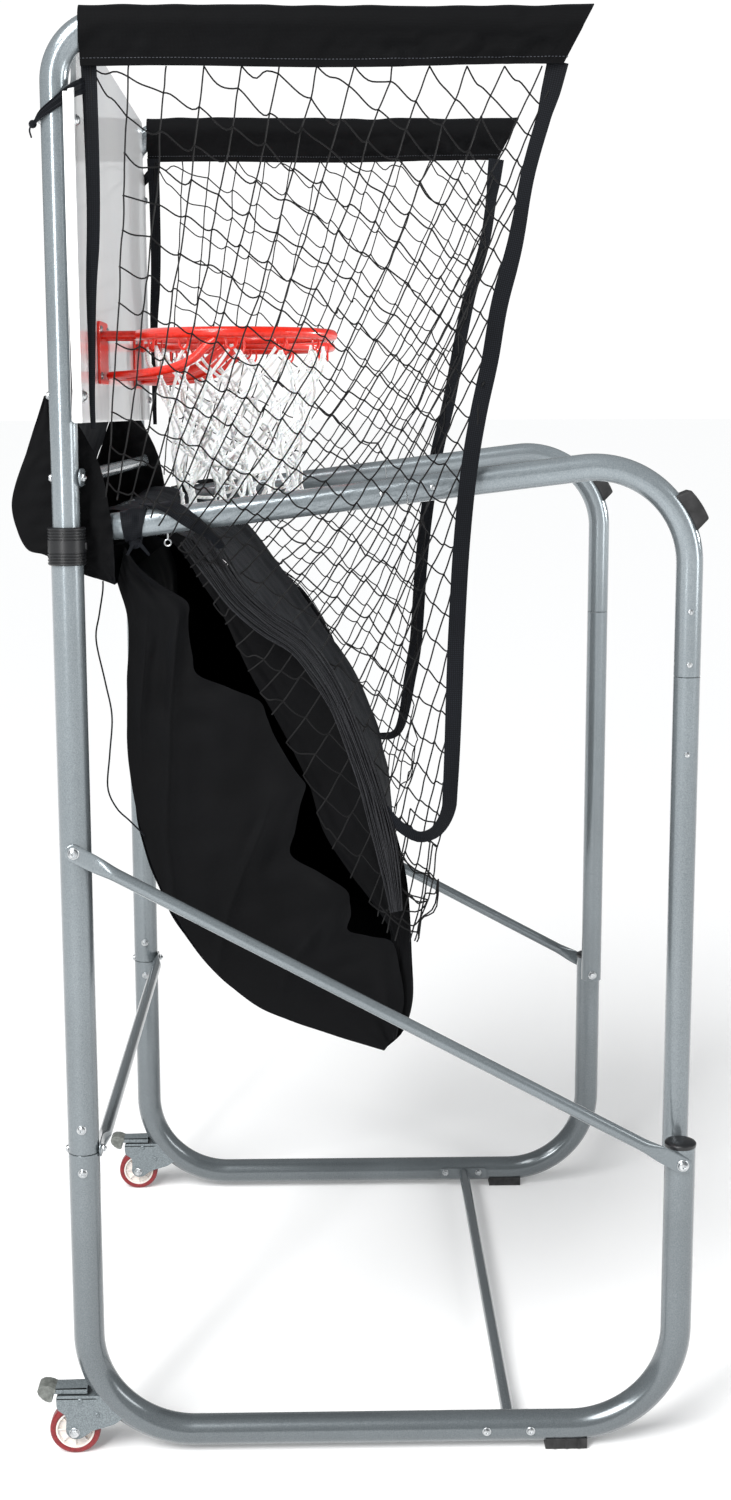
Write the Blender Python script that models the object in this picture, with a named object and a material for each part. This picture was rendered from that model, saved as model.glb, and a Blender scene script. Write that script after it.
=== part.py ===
"""Folding two-hoop basketball machine, stored with its front frame folded up.

Metres. +X runs across the machine, the player stands at -Y and looks along +Y,
+Z is up, and the floor is z = 0. The left side is -X.
"""

import math

import bmesh
import bpy
import numpy as np
from mathutils import Matrix, Vector

# --- driving dimensions -------------------------------------------------------
SIDE_X = 0.505            # main frame tubes, from the middle plane
ARM_X = 0.462             # folding frame tubes, just inside the main ones
REAR_Y = 0.4055           # rear posts
FRONT_Y = -0.4645         # front posts and the fold pivots
LOWER_R = 0.0225          # 45 mm tube of the lower frame
UPPER_R = 0.019           # 38 mm tube of the upper posts and the folding frame
STRUT_R = 0.0095          # 19 mm tube of braces and cross tubes
WALL = 0.0015             # tube wall
GAP = 0.0003              # between pieces that touch
BASE_Z = 0.0305           # centre of the floor tubes
CORNER_R = 0.155          # bend of the floor tubes
SEAM_Z = 0.4694           # where the rear posts stand on the floor frame
FRONT_TOP_Z = 0.4700      # top of the short front posts
PIVOT_Z = 0.4470
COLLAR_Z = (1.3200, 1.3720)
COLLAR_R = 0.0265
LOWER_POST_TOP = 1.3450
TOP_ARM_Z = 2.0345        # centre of the top arms
TOP_BEND_R = 0.077
TOP_ARM_END_Y = -0.2550
LEG_BOTTOM_Z = 0.4345
LEG_SEAM_Z = 1.1546
ELBOW_R = 0.137
ELBOW_TOP_Z = 1.4500      # highest point of the elbow's centre line
ARM_SLOPE = math.radians(6.9)
ARM_SEAM_Y = -0.0637
CROSSBAR_Y = 0.3690
CROSSBAR_CORNER_R = 0.060
SPIGOT = 0.055            # length of a swaged tube end inside its neighbour
BRACE_REAR_Z = 0.9175
FOOT_Y = -0.302
FOOT_LENGTH = 0.062
FOOT_HALF_WIDTH = 0.0205
FOOT_TOP_Z = 0.0185
WHEEL_Y = 0.4290
WHEEL_R = 0.0375
BASE_CROSS_Y = -0.2190
UPPER_CROSS_Z = 1.4390
BOARD_Z = (1.513, 2.045)
BOARD_Y = (0.3775, 0.3857)
BOARD_HALF_WIDTH = 0.527
BOARD_TOP_HALF_WIDTH = 0.484      # above the posts' bends
BOARD_SHOULDER_Z = (1.946, 1.964)
RIM_X = 0.270
RIM_Y = 0.180
RIM_Z = 1.6380
RIM_RING_R = 0.1425
RIM_ROD_R = 0.0078
SLEEVE_Y = (0.368, -0.290)
RAMP_HALF_WIDTH = 0.440
SIDES = 12                # facets round a tube
ARC_STEP = math.radians(14)


# --- materials ----------------------------------------------------------------
def material(name, colour, roughness, metallic=0.0):
    made = bpy.data.materials.new(name)
    made.use_nodes = True
    shader = made.node_tree.nodes["Principled BSDF"]
    shader.inputs["Base Color"].default_value = (*colour, 1.0)
    shader.inputs["Roughness"].default_value = roughness
    shader.inputs["Metallic"].default_value = metallic
    return made


# --- shape tools --------------------------------------------------------------
def place(name, verts, faces, finish, origin=(0, 0, 0)):
    """One closed mesh object with outward faces and its origin at a given point."""
    mesh = bpy.data.meshes.new(name)
    shift = np.asarray(verts, float) - np.asarray(origin, float)
    mesh.from_pydata(shift.tolist(), [], faces)
    shell = bmesh.new()
    shell.from_mesh(mesh)
    bmesh.ops.recalc_face_normals(shell, faces=shell.faces)
    shell.to_mesh(mesh)
    shell.free()
    mesh.shade_smooth()
    mesh.set_sharp_from_angle(angle=math.radians(35))
    mesh.materials.append(finish)
    made = bpy.data.objects.new(name, mesh)
    made.location = origin
    bpy.context.scene.collection.objects.link(made)
    return made


def bent_path(corners):
    """Points along a polyline whose inner corners are rounded: [(point, radius), ...]."""
    points = [np.array(corners[0][0], float)]
    for before, (corner, radius), after in zip(corners, corners[1:], corners[2:]):
        corner = np.array(corner, float)
        back = np.array(before[0], float) - corner
        ahead = np.array(after[0], float) - corner
        back /= np.linalg.norm(back)
        ahead /= np.linalg.norm(ahead)
        half = math.acos(np.clip(back @ ahead, -1, 1)) / 2
        middle = (back + ahead) / np.linalg.norm(back + ahead)
        centre = corner + middle * radius / math.sin(half)
        start = corner + back * radius / math.tan(half) - centre
        finish = corner + ahead * radius / math.tan(half) - centre
        sweep = math.pi - 2 * half
        steps = max(2, math.ceil(sweep / ARC_STEP))
        for t in np.linspace(0, 1, steps + 1):
            mix = math.sin((1 - t) * sweep) * start + math.sin(t * sweep) * finish
            points.append(centre + mix / math.sin(sweep))
    points.append(np.array(corners[-1][0], float))
    return points


def tangents_of(points):
    steps = np.diff(np.array(points, float), axis=0)
    steps /= np.linalg.norm(steps, axis=1)[:, None]
    tangents = np.vstack([steps[:1], steps[:-1] + steps[1:], steps[-1:]])
    return tangents / np.linalg.norm(tangents, axis=1)[:, None]


def frames(points, reference):
    """Two cross directions at each point, carried along without twist."""
    side = np.array(reference, float)
    result = []
    for tangent in tangents_of(points):
        side = side - (side @ tangent) * tangent
        side /= np.linalg.norm(side)
        result.append((side, np.cross(tangent, side)))
    return result


def ring_faces(first, second, count):
    return [
        (first + i, first + (i + 1) % count, second + (i + 1) % count, second + i)
        for i in range(count)
    ]


def loft(name, sections, finish, inner=None, closed=False, origin=(0, 0, 0)):
    """A body through cross sections. With inner sections it is a pipe, open at both ends."""
    count = len(sections[0])
    rings = len(sections)
    verts = [p for section in sections for p in section]
    faces = []
    last = rings if closed else rings - 1
    for k in range(last):
        faces += ring_faces(k * count, (k + 1) % rings * count, count)
    if inner is not None:
        base = rings * count
        verts += [p for section in inner for p in section]
        for k in range(rings - 1):
            faces += ring_faces(base + k * count, base + (k + 1) * count, count)
        faces += ring_faces(0, base, count)
        faces += ring_faces((rings - 1) * count, base + (rings - 1) * count, count)
    elif not closed:
        faces.append(tuple(range(count)))
        faces.append(tuple((rings - 1) * count + i for i in range(count)))
    return place(name, verts, faces, finish, origin)


def circles(points, radii, reference, sides=SIDES):
    radii = [radii] * len(points) if np.isscalar(radii) else radii
    turn = np.arange(sides) * 2 * math.pi / sides
    result = []
    for point, radius, (side, rise) in zip(points, radii, frames(points, reference)):
        ring = np.outer(np.cos(turn), side) + np.outer(np.sin(turn), rise)
        result.append(np.asarray(point) + radius * ring)
    return result


def pipe(name, points, radius, finish, reference=(1, 0, 0), sides=SIDES, wall=WALL):
    outer = circles(points, radius, reference, sides)
    thin = [r - wall for r in radius] if not np.isscalar(radius) else radius - wall
    return loft(name, outer, finish, circles(points, thin, reference, sides))


def rod(name, points, radius, finish, reference=(1, 0, 0), sides=8, closed=False):
    return loft(name, circles(points, radius, reference, sides), finish, closed=closed)


def swaged(path, radii):
    """Draws down the first end of a tube so that it slides into its neighbour."""
    along = (path[1] - path[0]) / np.linalg.norm(path[1] - path[0])
    slim = radii[0] - WALL - GAP
    head = [path[0] - along * SPIGOT, path[0] - along * GAP, path[0] + along * GAP]
    return [*head, *path[1:]], [slim, slim, *radii]


def turned(name, profile, centre, axis, finish, sides=24):
    """A solid of revolution: profile is a closed loop of (radius, distance along axis)."""
    axis = np.array(axis, float)
    side = np.array((0, 0, 1.0)) if abs(axis[2]) < 0.5 else np.array((1.0, 0, 0))
    rise = np.cross(axis, side)
    sections = []
    for turn in np.arange(sides) * 2 * math.pi / sides:
        out = math.cos(turn) * side + math.sin(turn) * rise
        sections.append([np.array(centre) + r * out + a * axis for r, a in profile])
    return loft(name, sections, finish, closed=True, origin=centre)


def capped(name, profile, centre, axis, finish, sides=16):
    """A solid turned from (radius, distance) pairs, with flat discs at both ends."""
    axis = np.array(axis, float)
    points = [np.array(centre) + a * axis for _, a in profile]
    side = np.array((0, 0, 1.0)) if abs(axis[2]) < 0.5 else np.array((1.0, 0, 0))
    rise = np.cross(axis, side)
    turn = np.arange(sides) * 2 * math.pi / sides
    ring = np.outer(np.cos(turn), side) + np.outer(np.sin(turn), rise)
    return loft(name, [p + r * ring for p, (r, _) in zip(points, profile)], finish)


def slab(name, outline, low, high, finish, across="x"):
    """An outline pushed straight from low to high. across x: (y, z) points; y: (x, z) points."""
    def at(p, level):
        return (level, p[0], p[1]) if across == "x" else (p[0], level, p[1])

    sections = [[at(p, level) for p in outline] for level in (low, high)]
    return loft(name, sections, finish)


def ribbon(points, thickness):
    """The outline of a bent sheet of one thickness that follows (y, z) points."""
    along = tangents_of(points)
    shift = np.stack([-along[:, 1], along[:, 0]], 1) * thickness / 2
    return np.vstack([np.array(points) + shift, (np.array(points) - shift)[::-1]]).tolist()


def smooth_curve(points, count):
    """Evenly spaced points on a Catmull-Rom curve through the given points."""
    points = np.array(points, float)
    padded = np.vstack([2 * points[0] - points[1], points, 2 * points[-1] - points[-2]])
    dense = []
    for k in range(len(points) - 1):
        a, b, c, d = padded[k:k + 4]
        t = np.linspace(0, 1, 12, endpoint=False)[:, None]
        bend = (2 * a - 5 * b + 4 * c - d) * t**2 + (3 * b - a - 3 * c + d) * t**3
        dense.append(0.5 * (2 * b + (c - a) * t + bend))
    dense = np.vstack(dense + [points[-1:]])
    length = np.r_[0, np.cumsum(np.linalg.norm(np.diff(dense, axis=0), axis=1))]
    even = np.linspace(0, length[-1], count)
    return np.stack([np.interp(even, length, dense[:, i]) for i in range(points.shape[1])], 1)


def set_origin(body, point):
    """Moves an object's origin to a point and leaves its shape where it is."""
    body.data.transform(Matrix.Translation(body.location - Vector(point)))
    body.location = point


def cutter(name, body):
    """Hides a body that only cuts others."""
    body.name = name
    body.hide_render = True
    body.display_type = "WIRE"
    return body


def cut(body, tool):
    change = body.modifiers.new("cut", "BOOLEAN")
    change.operation = "DIFFERENCE"
    change.solver = "EXACT"
    change.object = tool


def drill(body, point, axis, radius, depth):
    """Cuts a straight round hole, centred on a point, through a body."""
    ends = [(radius, -depth / 2), (radius, depth / 2)]
    cut(body, cutter(f"drill_{body.name}", capped("drill", ends, point, axis, STEEL, 12)))


# --- the main frame -----------------------------------------------------------
def floor_frame(tag, x):
    corners = [
        ((x, REAR_Y, SEAM_Z - GAP), 0),
        ((x, REAR_Y, BASE_Z), CORNER_R),
        ((x, FRONT_Y, BASE_Z), CORNER_R),
        ((x, FRONT_Y, FRONT_TOP_Z), 0),
    ]
    tube = pipe(f"floor_frame_{tag}", bent_path(corners), LOWER_R, PAINT)
    drill(tube, (x, FRONT_Y, PIVOT_Z), (1, 0, 0), 0.0044, 0.08)
    plug = [
        (LOWER_R - WALL - GAP, FRONT_TOP_Z - 0.012),
        (LOWER_R - WALL - GAP, FRONT_TOP_Z + GAP),
        (LOWER_R, FRONT_TOP_Z + GAP),
        (LOWER_R, FRONT_TOP_Z + 0.003),
        (0.013, FRONT_TOP_Z + 0.008),
    ]
    capped(f"front_post_cap_{tag}", plug, (x, FRONT_Y, 0), (0, 0, 1), BLACK_PLASTIC, SIDES)


def rear_post(tag, x):
    points = [np.array((x, REAR_Y, z)) for z in (SEAM_Z, LOWER_POST_TOP)]
    pipe(f"rear_post_{tag}", *swaged(points, [LOWER_R, LOWER_R]), PAINT)
    low, high = COLLAR_Z
    inside = LOWER_R + GAP
    neck = UPPER_R + GAP
    step = LOWER_POST_TOP + GAP
    profile = [(inside, low), (COLLAR_R, low), (COLLAR_R, high), (neck, high)]
    profile += [(neck, step), (inside, step)]
    turned(f"post_collar_{tag}", profile, (x, REAR_Y, 0), (0, 0, 1), BLACK_PLASTIC, SIDES)


def upper_post(tag, x):
    corners = [
        ((x, REAR_Y, LOWER_POST_TOP - 0.080), 0),
        ((x, REAR_Y, TOP_ARM_Z), TOP_BEND_R),
        ((x, TOP_ARM_END_Y, TOP_ARM_Z), 0),
    ]
    pipe(f"upper_post_{tag}", bent_path(corners), UPPER_R, PAINT)


def side_brace(tag, side):
    """A slim tube whose ends are pressed flat against the posts and bolted."""
    outside = SIDE_X + LOWER_R + GAP
    flat_x = side * (outside + 0.0015)
    rear = np.array((flat_x, REAR_Y, BRACE_REAR_Z))
    front = np.array((flat_x, FRONT_Y, PIVOT_Z))
    along = (front - rear) / np.linalg.norm(front - rear)
    spots = [
        (rear - along * 0.013, 0.006, 0.0015), (rear - along * 0.008, 0.0115, 0.0015),
        (rear, 0.0128, 0.0015), (rear + along * 0.030, 0.0128, 0.0015),
        (rear + along * 0.075, STRUT_R, STRUT_R),
        (front - along * 0.075, STRUT_R, STRUT_R),
        (front - along * 0.030, 0.0128, 0.0015), (front, 0.0128, 0.0015),
        (front + along * 0.008, 0.0115, 0.0015), (front + along * 0.013, 0.006, 0.0015),
    ]
    wide = np.cross((1, 0, 0), along)
    turn = np.arange(SIDES) * 2 * math.pi / SIDES
    sections = [
        point + np.outer(np.cos(turn) * half, wide) + np.outer(np.sin(turn) * thick, (1, 0, 0))
        for point, half, thick in spots
    ]
    brace = loft(f"side_brace_{tag}", sections, PAINT)
    drill(brace, front, (1, 0, 0), 0.0044, 0.02)


def cross_tube(name, ends, flat, finish, flat_from=0.0):
    """A slim tube between two points whose tips may be pressed flat, flat side towards flat."""
    start, finish_point = (np.array(p, float) for p in ends)
    along = (finish_point - start) / np.linalg.norm(finish_point - start)
    facing = np.array(flat, float)
    wide = np.cross(along, facing)
    turn = np.arange(SIDES) * 2 * math.pi / SIDES
    length = np.linalg.norm(finish_point - start)
    spots = [(0, STRUT_R, STRUT_R), (length, STRUT_R, STRUT_R)]
    if flat_from:
        press = (0.0125, 0.0015)
        back = STRUT_R - press[1]
        spots = [
            (0, *press, back), (flat_from, *press, back),
            (flat_from + 0.035, STRUT_R, STRUT_R, 0),
            (length - flat_from - 0.035, STRUT_R, STRUT_R, 0),
            (length - flat_from, *press, back), (length, *press, back),
        ]
    sections = []
    for spot in spots:
        distance, half, thick = spot[:3]
        shift = facing * spot[3] if len(spot) > 3 else 0
        point = start + along * distance + shift
        ring = np.outer(np.cos(turn) * half, wide) + np.outer(np.sin(turn) * thick, facing)
        sections.append(point + ring)
    return loft(name, sections, finish)


def cross_tubes():
    post_front = REAR_Y - LOWER_R - GAP
    y = post_front - STRUT_R
    ends = [(side * (SIDE_X + 0.012), y, SEAM_Z + 0.004) for side in (-1, 1)]
    cross_tube("rear_cross_tube", ends, (0, 1, 0), PAINT, flat_from=0.030)
    y = REAR_Y - UPPER_R - GAP - STRUT_R
    ends = [(side * (SIDE_X + 0.012), y, UPPER_CROSS_Z) for side in (-1, 1)]
    cross_tube("upper_cross_tube", ends, (0, 1, 0), PAINT, flat_from=0.030)
    reach = SIDE_X - LOWER_R - 0.004 - 2 * GAP
    ends = [(side * reach, BASE_CROSS_Y, BASE_Z) for side in (-1, 1)]
    cross_tube("base_cross_tube", ends, (0, 0, 1), PAINT)
    for tag, side in (("left", -1), ("right", 1)):
        face = side * (SIDE_X - LOWER_R - GAP)
        half = 0.046
        outline = [(-half, -0.010), (half, -0.010), (half, 0.010), (-half, 0.010)]
        outline = [(BASE_CROSS_Y + y, BASE_Z + z) for y, z in outline]
        slab(f"base_tube_flange_{tag}", outline, face, face - side * 0.004, PAINT)


def foot(tag, x):
    """A rubber foot with a hollow top that cradles the floor tube."""
    reach = LOWER_R + GAP
    start = math.asin(FOOT_HALF_WIDTH * 0.95 / reach)
    saddle = [
        (x + reach * math.sin(a), BASE_Z - reach * math.cos(a))
        for a in np.linspace(start, -start, 7)
    ]
    wing = FOOT_HALF_WIDTH
    outline = [(x - wing + 0.004, 0), (x + wing - 0.004, 0), (x + wing, 0.006)]
    outline += [(x + wing, FOOT_TOP_Z), *saddle, (x - wing, FOOT_TOP_Z), (x - wing, 0.006)]
    half = FOOT_LENGTH / 2
    slab(f"floor_foot_{tag}", outline, FOOT_Y - half, FOOT_Y + half, RUBBER, across="y")


# --- casters ------------------------------------------------------------------
BRACKET_HALF = 0.0195
BRACKET_SHEET = 0.0025
WHEEL_HALF = 0.0120
AXLE_R = 0.0038
PEDAL_PIVOT = (0.4250, 0.0985)
BRACKET_TOP = 0.0951


def caster(tag, x):
    outline = [
        (0.4550, BRACKET_TOP), (0.3760, BRACKET_TOP), (0.3560, 0.0680), (0.3700, 0.0490),
        (0.4050, 0.0415), (0.4200, 0.0300), (0.4370, 0.0300), (0.4480, 0.0600),
        (0.4550, 0.0780),
    ]
    bracket = slab(f"caster_bracket_{tag}", outline, x - BRACKET_HALF, x + BRACKET_HALF, STEEL)
    room = BRACKET_HALF - BRACKET_SHEET
    hollow = [(0.50, 0.02), (0.50, 0.0895), (0.30, 0.0895), (0.30, 0.02)]
    cut(bracket, cutter(f"room_{tag}", slab("room", hollow, x - room, x + room, STEEL)))
    trough = [(0.50, 0.0920), (0.50, 0.11), (0.30, 0.11), (0.30, 0.0920)]
    cut(bracket, cutter(f"trough_{tag}", slab("trough", trough, x - room, x + room, STEEL)))
    corners = [((x, REAR_Y, 0.3), 0), ((x, REAR_Y, BASE_Z), CORNER_R), ((x, 0.1, BASE_Z), 0)]
    clear = rod("tube_room", bent_path(corners), LOWER_R + GAP, STEEL, sides=SIDES)
    cut(bracket, cutter(f"tube_room_{tag}", clear))
    drill(bracket, (x, WHEEL_Y, WHEEL_R), (1, 0, 0), AXLE_R + 0.0004, 0.06)

    centre = (x, WHEEL_Y, WHEEL_R)
    inner = 0.0290
    tyre = [(inner, -WHEEL_HALF), (WHEEL_R - 0.003, -WHEEL_HALF), (WHEEL_R, -WHEEL_HALF + 0.004)]
    tyre += [(WHEEL_R, WHEEL_HALF - 0.004), (WHEEL_R - 0.003, WHEEL_HALF), (inner, WHEEL_HALF)]
    turned(f"caster_tyre_{tag}", tyre, centre, (1, 0, 0), TYRE)
    core = inner - GAP
    hub = [(AXLE_R + 0.0005, -0.0145), (0.010, -0.0145), (0.010, -0.008), (core, -0.0115)]
    hub += [(core, 0.0115), (0.010, 0.008), (0.010, 0.0145), (AXLE_R + 0.0005, 0.0145)]
    turned(f"caster_hub_{tag}", hub, centre, (1, 0, 0), HUB)
    head = BRACKET_HALF + GAP
    axle = [(0.0070, -head - 0.0050), (0.0070, -head), (AXLE_R, -head), (AXLE_R, head)]
    axle += [(0.0065, head), (0.0065, head + 0.0060)]
    capped(f"caster_axle_{tag}", axle, centre, (1, 0, 0), ZINC, 12)

    pivot_y, pivot_z = PEDAL_PIVOT
    low = BRACKET_TOP + 0.0012
    lever = [
        (0.4090, low), (0.4585, low), (0.4600, 0.0810), (0.4665, 0.0800), (0.4725, 0.0870),
        (0.4835, 0.1010), (0.4840, 0.1050), (0.4720, 0.1075), (0.4600, 0.1065),
        (0.4560, low + 0.0040), (0.4090, low + 0.0040),
    ]
    half = 0.0150
    pedal = slab(f"brake_pedal_{tag}", lever, x - half, x + half, PEDAL)
    set_origin(pedal, (x, pivot_y, pivot_z))


# --- the folding frame --------------------------------------------------------
ELBOW_Y = FRONT_Y + ELBOW_R
ELBOW_Z = ELBOW_TOP_Z - ELBOW_R


def arm_height(y):
    """Centre height of the folded arm, which slopes down towards the rear."""
    foot_y = ELBOW_Y + ELBOW_R * math.sin(ARM_SLOPE)
    foot_z = ELBOW_Z + ELBOW_R * math.cos(ARM_SLOPE)
    return foot_z - (y - foot_y) * math.tan(ARM_SLOPE)


def folding_side(tag, side):
    x = side * ARM_X
    leg = pipe(
        f"folding_leg_{tag}",
        [(x, FRONT_Y, LEG_BOTTOM_Z), (x, FRONT_Y, LEG_SEAM_Z - GAP)], UPPER_R, PAINT)
    drill(leg, (x, FRONT_Y, PIVOT_Z), (1, 0, 0), 0.0044, 0.06)

    corners = [
        ((x, FRONT_Y, LEG_SEAM_Z), 0),
        ((x, FRONT_Y, arm_height(FRONT_Y)), ELBOW_R),
        ((x, ARM_SEAM_Y - GAP, arm_height(ARM_SEAM_Y - GAP)), 0),
    ]
    path = bent_path(corners)
    pipe(f"folding_elbow_{tag}", *swaged(path, [UPPER_R] * len(path)), PAINT)

    lean = math.radians(31)
    out = np.array((0, -math.cos(lean), math.sin(lean)))
    along = np.array((0, math.sin(lean), math.cos(lean)))
    centre = np.array((x, ELBOW_Y, ELBOW_Z)) + out * (ELBOW_R + UPPER_R + GAP)
    spread = np.linspace(-0.5, 0.5, 5) * 0.052
    sink = [ELBOW_R + UPPER_R - math.sqrt((ELBOW_R + UPPER_R) ** 2 - s**2) for s in spread]
    low = [centre + along * s - out * d for s, d in zip(spread, sink)]
    high = [centre + along * s + out * 0.0125 for s in (0.021, -0.021)]
    outline = [(p[1], p[2]) for p in low + high]
    slab(f"folding_pad_{tag}", outline, x - 0.0150, x + 0.0150, RUBBER)

    reach = SIDE_X + LOWER_R + 0.0033 + 2 * GAP
    inner = ARM_X - UPPER_R - GAP
    profile = [
        (0.0050, -0.0045), (0.0075, -0.0030), (0.0080, 0.0), (0.0040, 0.0),
        (0.0040, reach - inner), (0.0075, reach - inner), (0.0075, reach - inner + 0.0065),
    ]
    spot = (side * reach, FRONT_Y, PIVOT_Z)
    capped(f"pivot_bolt_{tag}", profile, spot, (-side, 0, 0), ZINC, 12)


def crossbar():
    """The far end of the folding frame: two arm ends and the bar that joins them."""
    corners = []
    for side in (-1, 1):
        seam = ((side * ARM_X, ARM_SEAM_Y, arm_height(ARM_SEAM_Y)), 0)
        corner = ((side * ARM_X, CROSSBAR_Y, arm_height(CROSSBAR_Y)), CROSSBAR_CORNER_R)
        corners += [seam, corner] if side < 0 else [corner, seam]
    path = bent_path(corners)
    path, radii = swaged(path, [UPPER_R] * len(path))
    path, radii = swaged(path[::-1], radii[::-1])
    tilt = (0, math.sin(ARM_SLOPE), math.cos(ARM_SLOPE))
    pipe("folding_crossbar", path, radii, PAINT, reference=tilt)


# --- board, rims and nets -----------------------------------------------------
def backboard():
    """A plain panel whose top corners are stepped in to clear the posts' bends."""
    low, high = BOARD_Z
    start, stop = BOARD_SHOULDER_Z
    half, top = BOARD_HALF_WIDTH, BOARD_TOP_HALF_WIDTH
    right = [(half, low), (half, start), (top, stop), (top, high)]
    outline = right + [(-x, z) for x, z in right[::-1]]
    slab("backboard", outline, *BOARD_Y, BOARD, across="y")


def rim(tag, side):
    x = side * RIM_X
    around = np.arange(8) * math.pi / 4 + math.pi / 8
    wire = [(RIM_RING_R + RIM_ROD_R * math.cos(b), RIM_ROD_R * math.sin(b)) for b in around]
    turned(f"rim_{tag}", wire, (x, RIM_Y, RIM_Z), (0, 0, 1), RIM_PAINT)

    face = BOARD_Y[0] - GAP
    outline = [(x - 0.055, 1.568), (x + 0.055, 1.568), (x + 0.055, 1.658), (x - 0.055, 1.658)]
    slab(f"rim_plate_{tag}", outline, face - 0.004, face, RIM_PAINT, across="y")
    front = face - 0.004 - GAP
    low = RIM_Z - RIM_ROD_R - 0.0062
    route = [
        (x - 0.1400, RIM_Y + 0.030, low), (x - 0.1390, RIM_Y + 0.050, low - 0.020),
        (x - 0.1270, RIM_Y + 0.085, low - 0.036), (x - 0.0850, RIM_Y + 0.135, low - 0.042),
        (x - 0.0350, RIM_Y + 0.172, low - 0.044), (x, RIM_Y + 0.180, low - 0.044),
    ]
    route += [(2 * x - px, py, pz) for px, py, pz in route[-2::-1]]
    lift = [(px, min(py, front - 0.0062), pz) for px, py, pz in route]
    rod(f"rim_brace_{tag}", smooth_curve(lift, 23), 0.0058, RIM_PAINT, (0, 0, 1), 8)

    top, bottom = RIM_Z - RIM_ROD_R - 0.0015, 1.4050
    wall = 0.003
    shape = [(top, 0.1250), (1.560, 0.1080), (1.480, 0.0800), (bottom, 0.0700)]
    profile = [(r, z) for z, r in shape] + [(r - wall, z) for z, r in shape[::-1]]
    turned(f"rim_net_{tag}", profile, (x, RIM_Y, 0), (0, 0, 1), NET_WHITE, 16)


# --- fabric -------------------------------------------------------------------
def sleeve(tag, x):
    """A sewn pocket that hangs over the top arm: round above, pressed thin below."""
    def section(y, low, drop, thick):
        radius = UPPER_R + GAP + 0.0004 + thick
        turn = np.radians(range(180, -1, -30))
        loop = [(x + radius * math.cos(a), y, TOP_ARM_Z + radius * math.sin(a)) for a in turn]
        waist = TOP_ARM_Z - radius / 2 - drop
        loop += [(x + radius, y, waist), (x + 0.002 + thick, y, low - thick)]
        loop += [(x - 0.002 - thick, y, low - thick), (x - radius, y, waist)]
        return np.array(loop)

    rear, front = SLEEVE_Y
    stations = [(rear, 1.984, 0.013), (0.325, 1.984, 0), (-0.240, 1.987, 0), (front, 1.994, 0)]
    outer = [section(*station, 0.0030) for station in stations]
    inner = [section(*station, 0.0) for station in stations]
    loft(f"top_sleeve_{tag}", outer, FABRIC, inner)


STRAP_EDGE = [
    (-0.2560, 1.977), (-0.2435, 1.8913), (-0.2190, 1.8020), (-0.1850, 1.6522),
    (-0.1603, 1.5427), (-0.1431, 1.4385), (-0.1369, 1.3342), (-0.1319, 1.2159),
    (-0.1300, 1.0900), (-0.1260, 0.9900), (-0.1180, 0.9450), (-0.0852, 0.9250), (-0.0500, 0.9420),
]
HEM = [
    (0.330, 1.335), (0.255, 1.250), (0.238, 1.200), (0.180, 1.135), (0.112, 1.060),
    (0.090, 0.980), (0.092, 0.905), (0.030, 0.850), (0.015, 0.800), (-0.035, 0.762),
]


def side_net(tag, side):
    """The side net, and the band sewn to the outside of its front edge."""
    x = side * 0.4985
    outline = [(0.3690, 1.977), (0.3690, 1.5140), *HEM, (-0.080, 0.762), (-0.090, 0.815)]
    outline += [(-0.100, 0.850), (-0.104, 0.905), *STRAP_EDGE[-4::-1]]
    slab(f"side_net_{tag}", outline, x - side * 0.0015, x + side * 0.0015, NETTING)
    inner = x + side * (0.0015 + GAP)
    slab(f"front_strap_{tag}", ribbon(STRAP_EDGE, 0.019), inner, inner + side * 0.003, WEBBING)


POUCH = [
    (0.4345, 1.5480), (0.4600, 1.4780), (0.4854, 1.4015), (0.4663, 1.3430),
    (0.4389, 1.3300), (0.3911, 1.3065), (0.3420, 1.2885),
]
REAR_PANEL = [
    (0.3350, 1.2800), (0.3330, 1.2300), (0.3345, 1.1200), (0.3340, 1.0300), (0.3263, 0.9700),
    (0.3010, 0.8852), (0.2720, 0.8088), (0.2295, 0.7375), (0.1615, 0.6720), (0.0941, 0.6380),
    (0.0278, 0.6110), (-0.0300, 0.5960),
]
FRONT_PANEL = [
    (-0.0330, 0.5990), (-0.0620, 0.6300), (-0.0760, 0.6900), (-0.0760, 0.7600),
    (-0.0650, 0.8600), (-0.0430, 0.9500), (-0.0120, 1.0400), (0.0330, 1.1300),
    (0.0900, 1.2100), (0.1600, 1.2800), (0.2500, 1.3250), (0.3380, 1.3430),
]


def ramp():
    sheet = 0.003
    half = RAMP_HALF_WIDTH
    slab("rear_pouch", ribbon(POUCH, sheet), -0.474, 0.474, FABRIC)
    slab("ramp_rear_panel", ribbon(REAR_PANEL, sheet), -half, half, FABRIC)
    slab("ramp_front_panel", ribbon(FRONT_PANEL, sheet), -half, half, FABRIC)
    for tag, side in (("left", -1), ("right", 1)):
        edge = half + GAP
        inside = ribbon(REAR_PANEL, 2 * (sheet / 2 + GAP))
        outline = inside[:len(REAR_PANEL) - 1] + [(-0.028, 0.612)] + HEM[::-1]
        low, high = side * edge, side * (edge + 0.002)
        slab(f"ramp_side_{tag}", outline, low, high, FABRIC)


CORD_ROUTE = [
    (-0.4455, 0.3640, 1.2925), (-0.4470, 0.3645, 1.2780), (-0.4490, 0.3700, 1.2450),
    (-0.4500, 0.3752, 1.2093), (-0.4500, 0.3640, 1.1500), (-0.4500, 0.3555, 1.1001),
    (-0.4500, 0.3600, 1.0450), (-0.4500, 0.3640, 0.9960), (-0.4500, 0.3520, 0.9660),
    (-0.4500, 0.3348, 0.9484), (-0.4500, 0.3200, 0.9330), (-0.4480, 0.3130, 0.9250),
]


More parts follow.
